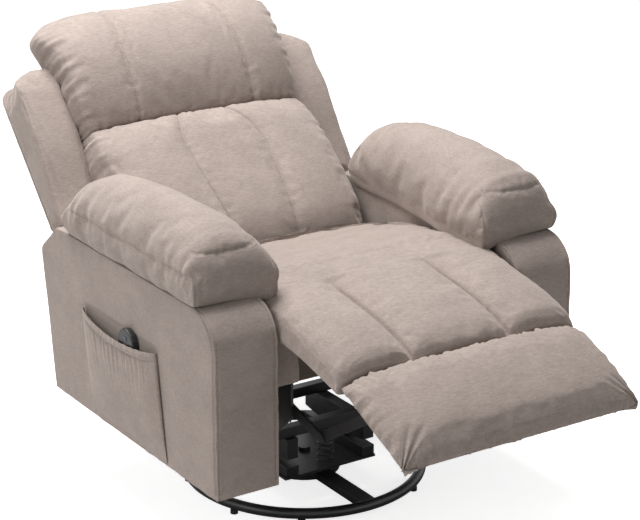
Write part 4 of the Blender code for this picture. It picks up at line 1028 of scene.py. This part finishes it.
class RECLINER_OT_foot_panel(bpy.types.Operator):
    """Sew and stuff the foot panel's pad and line its underside"""

    bl_idname = "recliner.foot_panel"
    bl_label = "Foot panel pad"

    def execute(self, context):
        def place(a, b, c):
            edge = max(abs(a), abs(b)) > 0.99
            y = mix(0.0, -FOOT_LENGTH, (1.0 - b) / 2)
            face = follow(FOOT_LINE, y) - 0.026 * abs(a) ** 7
            low = -FOOT_THICK + (0.010 if edge else 0.0)
            z = mix(low, face, (c + 1.0) / 2)
            seam = SEAM_GAP - z * math.tan(math.radians(FOOT_LEAN - SEAM_LEAN))
            across = a * PAD_HALF_WIDTH * (1.0 - 0.02 * abs(c)) * (1.0 - 0.02 * abs(b) ** 3)
            return (across, -mix(seam, FOOT_LENGTH, (1.0 - b) / 2), z)

        widths = (-0.95, -0.8, -0.4, 0.0, 0.4, 0.8, 0.95)
        loops = (widths, (-0.95, -0.82, -0.3, 0.3, 0.8, 0.95), (-0.75, -0.1, 0.6))
        piece = cage("foot_cover", loops, place, 4)

        def sew(place, normal):
            if normal.z < -0.4:
                return 0.0
            rear, front, side = -place.y, place.y + FOOT_LENGTH, PAD_HALF_WIDTH - abs(place.x)
            depth = 0.0060 * gathers(place.x + 0.25 * place.y, rear, 0.045, 0.0115, 91.0)
            depth += 0.0050 * gathers(place.x, front, 0.022, 0.012, 93.0)
            corner = math.hypot(front, side)
            turn = math.atan2(front, side)
            depth += 0.0075 * math.exp(-corner / 0.045) * noise.noise(Vector((turn * 7.0, 0.0, 95.0)))
            depth += 0.0030 * gathers(place.y, side, 0.030, 0.018, 96.0 + (place.x > 0))
            depth += 0.0022 * noise.noise(Vector((place.x / 0.05, place.y / 0.22, 97.0)))
            return depth + 0.0013 * creases(place, 0.09, 99.0)

        press(piece, sew)

        def held(place):
            under = 1.0 if place.z < -FOOT_THICK + 0.012 else 0.0
            return max(under, dip(place.y, 0.008))

        stuff(piece, held, 0.005)
        finish_soft(piece, FOOT_FRAME, chenille(), "leg_rest", ["footrest_cushion"])
        self.underside()
        return {"FINISHED"}

    def underside(self):
        """The board under the pad, wrapped in lining, set in from the pad's edges."""
        def place(a, b, c):
            along, up = (b + 1.0) / 2, (c + 1.0) / 2
            return (a * BOARD_HALF_WIDTH, mix(BOARD_FRONT, BOARD_REAR, along), mix(BOARD_LOW, BOARD_HIGH, up))

        piece = cage("foot_underside", ((-0.98, 0.0, 0.98), (-0.96, 0.0, 0.96), (-0.6, 0.6)), place, 3)
        press(piece, lambda place, normal: 0.0008 * creases(place, 0.04, 101.0))
        finish_soft(piece, FOOT_FRAME, lining_cloth(), "leg_rest", ["footrest_board"])


ARM_INNER_X = 0.313
ARM_OUTER_X = 0.470
ARM_FRONT_Y = -0.364
ARM_BOTTOM_Z = 0.200
ARM_TOP_Z = 0.607
ARM_CORNER_R = 0.085
ARM_SEAM_IN = 0.009
ARM_STITCH_IN = 0.0135
ARM_REAR = ((0.200, 0.384), (0.537, 0.434), (0.607, 0.348))
ARM_LEVELS = (0.205, 0.216, 0.30, 0.40, 0.47, 0.518, 0.537, 0.555, 0.575, 0.590, 0.600)


def arm_front(z):
    """The arm's front edge in side view: upright, with one large round at its top."""
    rise = max(0.0, z - (ARM_TOP_Z - ARM_CORNER_R))
    return ARM_FRONT_Y + ARM_CORNER_R - math.sqrt(max(0.0, ARM_CORNER_R**2 - rise**2))


def arm_rear(z):
    for (low, start), (high, end) in zip(ARM_REAR, ARM_REAR[1:]):
        if z <= high:
            return mix(start, end, (z - low) / (high - low))
    return ARM_REAR[-1][1]


class RECLINER_OT_arm_covers(bpy.types.Operator):
    """Sew the padded covers of the two boxed arms, with a lining below"""

    bl_idname = "recliner.arm_covers"
    bl_label = "Arm covers"

    def execute(self, context):
        for side, name in ((-1, "right"), (1, "left")):
            piece = self.cover(side, name)
            self.stitches(piece, side, name)
            finish_soft(piece, STILL, chenille(), "chair", [f"arm_cover_{name}"])
            piece.data.materials.append(lining_cloth())
            for face in piece.data.polygons:
                face.material_index = 1 if face.normal.z < -0.8 and face.center.z < ARM_BOTTOM_Z + 0.01 else 0
        return {"FINISHED"}

    def cover(self, side, name):
        middle = side * (ARM_INNER_X + ARM_OUTER_X) / 2
        half = (ARM_OUTER_X - ARM_INNER_X) / 2 - COVER_INSET

        def place(a, b, c):
            z = mix(ARM_BOTTOM_Z, ARM_TOP_Z, (c + 1.0) / 2)
            front, rear = arm_front(z) + COVER_INSET, arm_rear(z) - COVER_INSET
            return (middle + a * half, mix(front, rear, (b + 1.0) / 2), z)

        levels = cuts(ARM_LEVELS, ARM_BOTTOM_Z, ARM_TOP_Z)
        loops = ((-0.93, 0.0, 0.93), (-0.982, -0.7, -0.2, 0.3, 0.75, 0.982), levels)
        piece = cage(f"arm_panel_{name}", loops, place, 4)

        def sew(place, normal):
            behind = place.y - arm_front(place.z)
            flank = min(1.0, max(0.0, (abs(normal.x) - 0.5) / 0.3))
            face = min(1.0, max(0.0, (-normal.y + 0.75 * normal.z - 0.5) / 0.3))
            edge = min(side * place.x - ARM_INNER_X, ARM_OUTER_X - side * place.x)
            depth = -0.0026 * flank * dip(behind - ARM_SEAM_IN, 0.0028)
            depth -= 0.0012 * flank * dip(behind - 0.011, 0.010)
            depth -= 0.0024 * face * dip(edge - ARM_SEAM_IN, 0.0028) * (behind < 0.05)
            depth += 0.0022 * flank * gathers(place.z, behind - ARM_SEAM_IN, 0.030, 0.035, 111.0 + side)
            depth += 0.0020 * face * gathers(place.z, edge - ARM_SEAM_IN, 0.020, 0.022, 113.0 + side)
            depth += 0.0030 * flank * gathers(place.y, ARM_TOP_Z - place.z, 0.050, 0.045, 115.0 + side)
            depth += 0.0022 * flank * gathers(place.y, place.z - ARM_BOTTOM_Z, 0.020, 0.040, 117.0 + side)
            pad = swell((place.z - 0.40) / 0.21, 4.0) * swell((place.y - 0.01) / 0.40, 6.0)
            depth += 0.0020 * flank * pad
            return depth + 0.0011 * creases(place, 0.13, 119.0 + side)

        press(piece, sew)
        if side < 0:
            self.press_pocket(piece)
        return piece

    def press_pocket(self, piece):
        """Keep the outer side flat behind the pocket, where its sheet is sewn down."""
        for vert in piece.data.vertices:
            if vert.co.x < -ARM_OUTER_X + 0.006:
                inside = swell((vert.co.y - 0.03) / 0.21, 6.0) * swell((vert.co.z - 0.32) / 0.15, 6.0)
                vert.co.x = max(vert.co.x, mix(vert.co.x, -ARM_OUTER_X + 0.0012, min(1.0, 4.0 * inside)))

    def stitches(self, piece, side, name):
        def edge_line(x, beside, low, high):
            return [(x, arm_front(z) + beside, z) for z in span(low, high, 70)]

        rows = [edge_line(side * (ARM_OUTER_X + 0.02), beside, 0.215, 0.596)
                for beside in (0.0055, ARM_STITCH_IN)]
        sewing_line(f"arm_side_stitches_{name}", piece, rows, (side, 0.0, 0.0), pitch=0.0075)
        rows = [[(side * x, -0.45, z) for z in span(0.215, 0.565, 70)]
                for x in (ARM_INNER_X + ARM_STITCH_IN, ARM_OUTER_X - ARM_STITCH_IN)]
        sewing_line(f"arm_front_stitches_{name}", piece, rows, (0.0, -1.0, 0.0), pitch=0.0075)


POCKET_FRONT_Y = -0.120
POCKET_REAR_Y = 0.215
POCKET_BOTTOM_Z = 0.210
POCKET_TOP_Z = 0.455
POCKET_LEAN = 0.034
POCKET_DEPTH = 0.0215
POCKET_SAG = 0.016
POCKET_WALL_X = -0.4704


class RECLINER_OT_side_pocket(bpy.types.Operator):
    """Sew the gathered pocket on the right arm, with its hem and its stitches"""

    bl_idname = "recliner.side_pocket"
    bl_label = "Side pocket"

    def execute(self, context):
        deselect()
        bpy.ops.mesh.primitive_grid_add(x_subdivisions=150, y_subdivisions=110, size=2.0)
        piece = named(bpy.context.object, "pocket_sheet")
        for vert in piece.data.vertices:
            vert.co = Vector(self.place((vert.co.x + 1.0) / 2, (vert.co.y + 1.0) / 2))
        bpy.ops.object.mode_set(mode="EDIT")
        bpy.ops.mesh.select_all(action="SELECT")
        bpy.ops.mesh.normals_make_consistent(inside=False)
        bpy.ops.object.mode_set(mode="OBJECT")
        if sum(face.normal.x for face in piece.data.polygons) > 0:
            piece.data.flip_normals()
        apply_modifier(piece, "SOLIDIFY", thickness=0.0016, offset=-1.0)
        rows = [[(-0.60, y, z) for y, z in (self.flat(along, 0.925) for along in span(0.03, 0.97, 90))]]
        for along in (0.022, 0.978):
            rows.append([(-0.60, *self.flat(along, up)) for up in span(0.03, 0.97, 50)])
        rows.append([(-0.60, *self.flat(along, 0.030)) for along in span(0.03, 0.97, 90)])
        sewing_line("pocket_stitches", piece, rows, (-1.0, 0.0, 0.0), pitch=0.007, radius=0.0005)
        finish(piece, chenille(), "chair", ["arm_pocket"])
        return {"FINISHED"}

    def flat(self, along, up):
        """Station along Y and height of a place on the pocket, given as shares of its width and height."""
        y = mix(POCKET_FRONT_Y, POCKET_REAR_Y, along) - POCKET_LEAN * (1.0 - up)
        return y, mix(POCKET_BOTTOM_Z, POCKET_TOP_Z, up) - POCKET_SAG * math.sin(math.pi * along) * up

    def place(self, along, up):
        y, z = self.flat(along, up)
        bow = max(0.0, math.sin(math.pi * along)) ** 0.3
        depth = POCKET_DEPTH * bow * (1.0 - (1.0 - up) ** 3)
        free = min(1.0, 9.0 * along, 9.0 * (1.0 - along))
        wave = noise.noise(Vector((along / 0.030, up / 0.8, 121.0)))
        wave += 0.5 * noise.noise(Vector((along / 0.014, up / 0.5, 123.0)))
        below = max(0.0, 0.90 - up)
        depth += 0.0042 * free * wave * (math.exp(-below / 0.16) if up < 0.90 else 0.45)
        slack = noise.noise(Vector((along / 0.22, up / 0.25, 125.0)))
        depth += 0.0030 * free * slack * swell(2.0 * up - 1.0)
        depth += 0.0022 * free * dip(up - 0.962, 0.022) - 0.0022 * free * dip(up - 0.918, 0.010)
        border = min(along, 1.0 - along)
        depth += 0.0016 * dip(border, 0.008) + 0.0014 * dip(up, 0.012)
        return (POCKET_WALL_X - max(0.0006, depth), y, z)


class RECLINER_OT_back_cover(bpy.types.Operator):
    """Sew the flat cover over the rear of the back, narrow below the wings"""

    bl_idname = "recliner.back_cover"
    bl_label = "Rear cover of the back"

    def execute(self, context):
        narrow, wide, step, low, high, corner_r = 0.2184, 0.412, 0.242, -0.030, 0.641, 0.040
        heights = (-0.024, 0.05, 0.15, 0.230, step - 0.003, step + 0.003, 0.255,
                   0.35, 0.48, 0.57, 0.600, 0.620, 0.634)

        def place(a, b, c):
            u = mix(low, high, (c + 1.0) / 2)
            half = narrow if u < step else wide
            corner = max(0.0, u - (high - corner_r))
            half -= corner_r - math.sqrt(max(0.0, corner_r**2 - corner**2))
            return (a * half, mix(0.0323, 0.0373, (b + 1.0) / 2), u)

        loops = ((-0.97, -0.5, 0.0, 0.5, 0.97), (0.0,), cuts(heights, low, high))
        piece = cage("back_rear_cover", loops, place, 4)

        def sew(place, normal):
            if normal.y < 0.3:
                return 0.0
            edge = (narrow if place.z < step else wide) - abs(place.x)
            border = min(edge, high - place.z, place.z - low)
            depth = 0.004 * min(1.0, border / 0.06) - 0.0022 * dip(border - 0.012, 0.003)
            depth += 0.0018 * gathers(place.x, high - place.z, 0.05, 0.030, 131.0)
            depth += 0.0016 * gathers(place.z, edge, 0.04, 0.030, 133.0)
            return depth + 0.0015 * creases(place, 0.15, 135.0)

        press(piece, sew)
        insets = (0.008, 0.016)
        rows = [[(x, 0.10, high - inset) for x in span(-wide + 0.03, wide - 0.03, 120)] for inset in insets]
        for side in (-1, 1):
            rows += [[(side * (wide - inset), 0.10, z) for z in span(step + 0.01, high - 0.03, 80)]
                     for inset in insets]
        sewing_line("back_cover_stitches", piece, rows, (0.0, 1.0, 0.0), "back", BACK_FRAME)
        finish_soft(piece, BACK_FRAME, chenille(), "back", ["back_panel"])
        return {"FINISHED"}


BOX_SIDE_X = 0.2715
BOX_SIDE_HALF = 0.0408


class RECLINER_OT_seat_box(bpy.types.Operator):
    """Pad the two sides of the seat box"""

    bl_idname = "recliner.seat_box"
    bl_label = "Seat box sides"

    def execute(self, context):
        front, rear, bottom, step, support = -0.315, 0.260, 0.400, -0.2205, 0.4247

        def ceiling(y):
            return bridge_bottom(y) - 0.0003 if y < step else support

        stations = (-0.308, -0.28, step - 0.004, step - 0.0008, step + 0.0008, step + 0.006, 0.0, 0.15, 0.252)
        loops = ((-0.85, 0.0, 0.85), cuts(stations, front, rear), (-0.6, 0.0, 0.8))
        for side, name in ((-1, "right"), (1, "left")):
            def place(a, b, c):
                y = mix(front, rear, (b + 1.0) / 2)
                z = mix(bottom, ceiling(y), (c + 1.0) / 2)
                slope = 0.028 * ramp(-y, 0.20, 0.30) * max(0.0, (z - 0.445) / 0.065)
                return (side * BOX_SIDE_X + a * BOX_SIDE_HALF, y + slope, z)

            piece = cage(f"box_side_cover_{name}", loops, place, 3)
            press(piece, lambda place, normal: 0.0012 * creases(place, 0.06, 141.0 + side) - 0.0006)
            finish_soft(piece, STILL, chenille(), "chair", [f"seat_box_side_{name}"])
        return {"FINISHED"}


class RECLINER_OT_webbing(bpy.types.Operator):
    """Weave the elastic straps that carry the seat cushion"""

    bl_idname = "recliner.webbing"
    bl_label = "Seat webbing"

    def execute(self, context):
        low_x, low_y, high_y, z = -0.2235, -0.2475, 0.0355, 0.4232
        straps = []
        crosswise, lengthwise = (5, 0.447, (low_y, high_y), 0), (8, high_y - low_y, (low_x, -low_x), 1)
        for count, length, across, lean in (crosswise, lengthwise):
            pitch = (across[1] - across[0]) / count
            for number in range(count):
                straps.append(self.strap(length, pitch * 0.84, 8 if lean == 0 else 5, number))
                middle = across[0] + pitch * (number + 0.5)
                turn = Matrix.Rotation(math.radians(90.0 * lean), 4, "Z")
                shift = (middle, (low_y + high_y) / 2, z) if lean else (0.0, middle, z)
                straps[-1].data.transform(Matrix.Translation(shift) @ turn)
        piece = join(straps, "webbing_straps")
        finish(piece, lining_cloth(), "chair", ["seat_webbing"])
        return {"FINISHED"}

    def strap(self, length, width, crossings, phase):
        """One strap along X that passes over and under the straps that cross it."""
        deselect()
        bpy.ops.mesh.primitive_grid_add(x_subdivisions=96, y_subdivisions=6, size=2.0)
        made = bpy.context.object
        for vert in made.data.vertices:
            wave = math.sin(math.pi * crossings * (vert.co.x + 1.0) / 2) * (1 if phase % 2 else -1)
            vert.co = Vector((vert.co.x * length / 2, vert.co.y * width / 2, 0.0006 * wave))
        apply_modifier(made, "SOLIDIFY", thickness=0.0008, offset=0.0)
        return made


class RECLINER_OT_floor_ring(bpy.types.Operator):
    """Bend the round tube of the floor ring"""

    bl_idname = "recliner.floor_ring"
    bl_label = "Floor ring"

    def execute(self, context):
        deselect()
        centre_y, ring_r, tube_r, height = 0.030, 0.2765, 0.0125, 0.0228
        upright = (math.radians(90.0), 0.0, 0.0)
        bpy.ops.mesh.primitive_circle_add(
            vertices=24, radius=tube_r, location=(ring_r, centre_y, height), rotation=upright
        )
        bpy.ops.object.transform_apply()
        piece = named(bpy.context.object, "ring_tube")
        bpy.ops.object.mode_set(mode="EDIT")
        bpy.ops.mesh.select_all(action="SELECT")
        bpy.ops.mesh.spin(
            steps=144, angle=2 * math.pi, center=(0.0, centre_y, 0.0), axis=(0.0, 0.0, 1.0),
            use_auto_merge=True,
        )
        bpy.ops.mesh.select_all(action="SELECT")
        bpy.ops.mesh.remove_doubles(threshold=0.0001)
        bpy.ops.mesh.normals_make_consistent(inside=False)
        bpy.ops.object.mode_set(mode="OBJECT")
        finish(piece, painted_steel(), "base", ["floor_ring"])
        return {"FINISHED"}


class RECLINER_OT_remote_marks(bpy.types.Operator):
    """Print the small light rings and bars around the keys of the remote control"""

    bl_idname = "recliner.remote_marks"
    bl_label = "Remote control marks"

    def execute(self, context):
        low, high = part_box("remote_case")
        face, middle = low[0], (low[1] + high[1]) / 2
        parts = []
        for number in range(2):
            deselect()
            bpy.ops.mesh.primitive_torus_add(
                major_radius=0.0085, minor_radius=0.0004, major_segments=40, minor_segments=8,
                location=(face, middle, high[2] - 0.022 - number * 0.017),
                rotation=(0.0, math.radians(90.0), 0.0),
            )
            bpy.ops.object.transform_apply()
            parts.append(bpy.context.object)
        for number in range(3):
            deselect()
            bpy.ops.mesh.primitive_cube_add(size=1.0)
            bar = bpy.context.object
            bpy.ops.object.mode_set(mode="EDIT")
            bpy.ops.mesh.bevel(offset=0.2, segments=3, affect="EDGES")
            bpy.ops.object.mode_set(mode="OBJECT")
            place = Vector((face, middle + 0.016 * (number - 1), high[2] - 0.058))
            for vert in bar.data.vertices:
                vert.co = place + Vector((vert.co.x * 0.0010, vert.co.y * 0.008, vert.co.z * 0.0025))
            parts.append(bar)
        finish(join(parts, "remote_marks"), key_rubber(), "remote", [])
        return {"FINISHED"}


LAMP_SIZE = 2.2
LAMP_TARGET = Vector((0.0, -0.1, 0.45))
CAMERA_TARGET = Vector((0.003, -0.034, 0.537))
CAMERA_LENS = 121.8
CAMERA_SHIFT = 0.0081


class RECLINER_OT_studio(bpy.types.Operator):
    """Set the pale floor, the soft lamps, the white surroundings and the camera"""

    bl_idname = "recliner.studio"
    bl_label = "Studio"

    def execute(self, context):
        self.floor()
        self.surroundings(context.scene)
        self.lamps(context.scene)
        self.camera(context.scene)
        context.scene.view_settings.view_transform = "Standard"
        return {"FINISHED"}

    def floor(self):
        deselect()
        bpy.ops.mesh.primitive_plane_add(size=60.0, location=(0.0, 0.0, -0.0005))
        floor = named(bpy.context.object, "studio_floor")
        floor.data.transform(floor.matrix_world)
        floor.matrix_world = Matrix.Identity(4)
        floor.data.materials.append(floor_paint())

    def surroundings(self, scene):
        world = bpy.data.worlds.new("white_surroundings")
        world.use_nodes = True
        scene.world = world
        tree = world.node_tree
        tree.nodes.clear()
        light, paths = tree.nodes.new("ShaderNodeBackground"), tree.nodes.new("ShaderNodeLightPath")
        seen = tree.nodes.new("ShaderNodeBackground")
        light.inputs["Color"].default_value = (1.0, 0.99, 0.98, 1.0)
        light.inputs["Strength"].default_value = 0.22
        seen.inputs["Color"].default_value = (1.0, 1.0, 1.0, 1.0)
        seen.inputs["Strength"].default_value = 1.0
        looked_at = math_node(tree, "MAXIMUM", paths.outputs["Is Camera Ray"], paths.outputs["Is Glossy Ray"])
        looked_at = math_node(tree, "MAXIMUM", looked_at, paths.outputs["Is Transmission Ray"])
        choose, out = tree.nodes.new("ShaderNodeMixShader"), tree.nodes.new("ShaderNodeOutputWorld")
        link = tree.links.new
        link(looked_at, choose.inputs["Fac"])
        link(light.outputs[0], choose.inputs[1])
        link(seen.outputs[0], choose.inputs[2])
        link(choose.outputs[0], out.inputs["Surface"])

    def lamps(self, scene):
        plan = (
            ("overhead_lamp", (-0.3, 0.9, 3.35), studio().overhead_power),
            ("side_lamp", (-3.3, -0.5, 2.0), studio().side_power),
            ("fill_lamp", (1.9, -3.4, 1.6), studio().fill_power),
        )
        for name, place, power in plan:
            data = bpy.data.lights.new(name, "AREA")
            data.shape = "DISK"
            data.size = LAMP_SIZE
            data.energy = power
            data.color = (1.0, 0.99, 0.98)
            lamp = bpy.data.objects.new(name, data)
            lamp.location = place
            lamp.rotation_euler = (LAMP_TARGET - Vector(place)).to_track_quat("-Z", "Y").to_euler()
            scene.collection.objects.link(lamp)

    def camera(self, scene):
        data = bpy.data.cameras.new("photo_camera")
        data.sensor_width = 36.0
        data.lens = CAMERA_LENS
        data.shift_y = CAMERA_SHIFT
        turn, rise = math.radians(studio().azimuth), math.radians(studio().elevation)
        back = Vector((math.sin(turn) * math.cos(rise), -math.cos(turn) * math.cos(rise), math.sin(rise)))
        camera = bpy.data.objects.new("photo_camera", data)
        camera.location = CAMERA_TARGET + back * studio().distance
        camera.rotation_euler = (-back).to_track_quat("-Z", "Y").to_euler()
        scene.collection.objects.link(camera)
        scene.camera = camera


class RECLINER_OT_hidden_and_plain(bpy.types.Operator):
    """Give the steel, rubber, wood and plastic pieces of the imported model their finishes"""

    bl_idname = "recliner.hidden_and_plain"
    bl_label = "Finishes of the packed pieces"

    def execute(self, context):
        slots = {part["node"]: part["material_slot"] for part in frame["record"]["subparts"]}
        finishes = {
            "black_steel": painted_steel, "glide_rubber": glide_rubber, "greige_chenille": chenille,
            "webbing": lining_cloth, "plywood": plywood, "dark_plastic": remote_plastic,
            "key_rubber": key_rubber,
        }
        for name, node in NODES.items():
            coat = finishes[slots[name]]()
            for slot in node.material_slots:
                slot.material = coat
        return {"FINISHED"}


SETTINGS = (
    ("recliner_cloth", ReclinerCloth),
    ("recliner_hardware", ReclinerHardware),
    ("recliner_studio", ReclinerStudio),
)
PIECES = (
    RECLINER_OT_studio,
    RECLINER_OT_hidden_and_plain,
    RECLINER_OT_head_cushion,
    RECLINER_OT_lumbar_cushion,
    RECLINER_OT_wings,
    RECLINER_OT_arm_pillows,
    RECLINER_OT_seat_cushion,
    RECLINER_OT_bridge_pad,
    RECLINER_OT_foot_panel,
    RECLINER_OT_arm_covers,
    RECLINER_OT_side_pocket,
    RECLINER_OT_back_cover,
    RECLINER_OT_seat_box,
    RECLINER_OT_webbing,
    RECLINER_OT_floor_ring,
    RECLINER_OT_remote_marks,
)


class RECLINER_PT_sidebar(bpy.types.Panel):
    """Lists the settings and the pieces of the recliner"""

    bl_label = "Recliner"
    bl_idname = "RECLINER_PT_sidebar"
    bl_space_type = "VIEW_3D"
    bl_region_type = "UI"
    bl_category = "Recliner"

    def draw(self, context):
        for group, _ in SETTINGS:
            box = self.layout.box()
            values = getattr(context.scene, group)
            for title in values.bl_rna.properties.keys():
                if title not in ("rna_type", "name"):
                    box.prop(values, title)
        for piece in PIECES:
            self.layout.operator(piece.bl_idname)


def register():
    for group, kind in SETTINGS:
        bpy.utils.register_class(kind)
        setattr(bpy.types.Scene, group, bpy.props.PointerProperty(type=kind))
    for kind in (*PIECES, RECLINER_PT_sidebar):
        bpy.utils.register_class(kind)


def unregister():
    for kind in (RECLINER_PT_sidebar, *reversed(PIECES)):
        bpy.utils.unregister_class(kind)
    for group, kind in reversed(SETTINGS):
        delattr(bpy.types.Scene, group)
        bpy.utils.unregister_class(kind)


def main():
    register()
    for piece in PIECES:
        category, call = piece.bl_idname.split(".")
        result = getattr(getattr(bpy.ops, category), call)()
        if result != {"FINISHED"}:
            raise RuntimeError(f"{piece.bl_idname} did not finish")


if __name__ == "__main__":
    main()
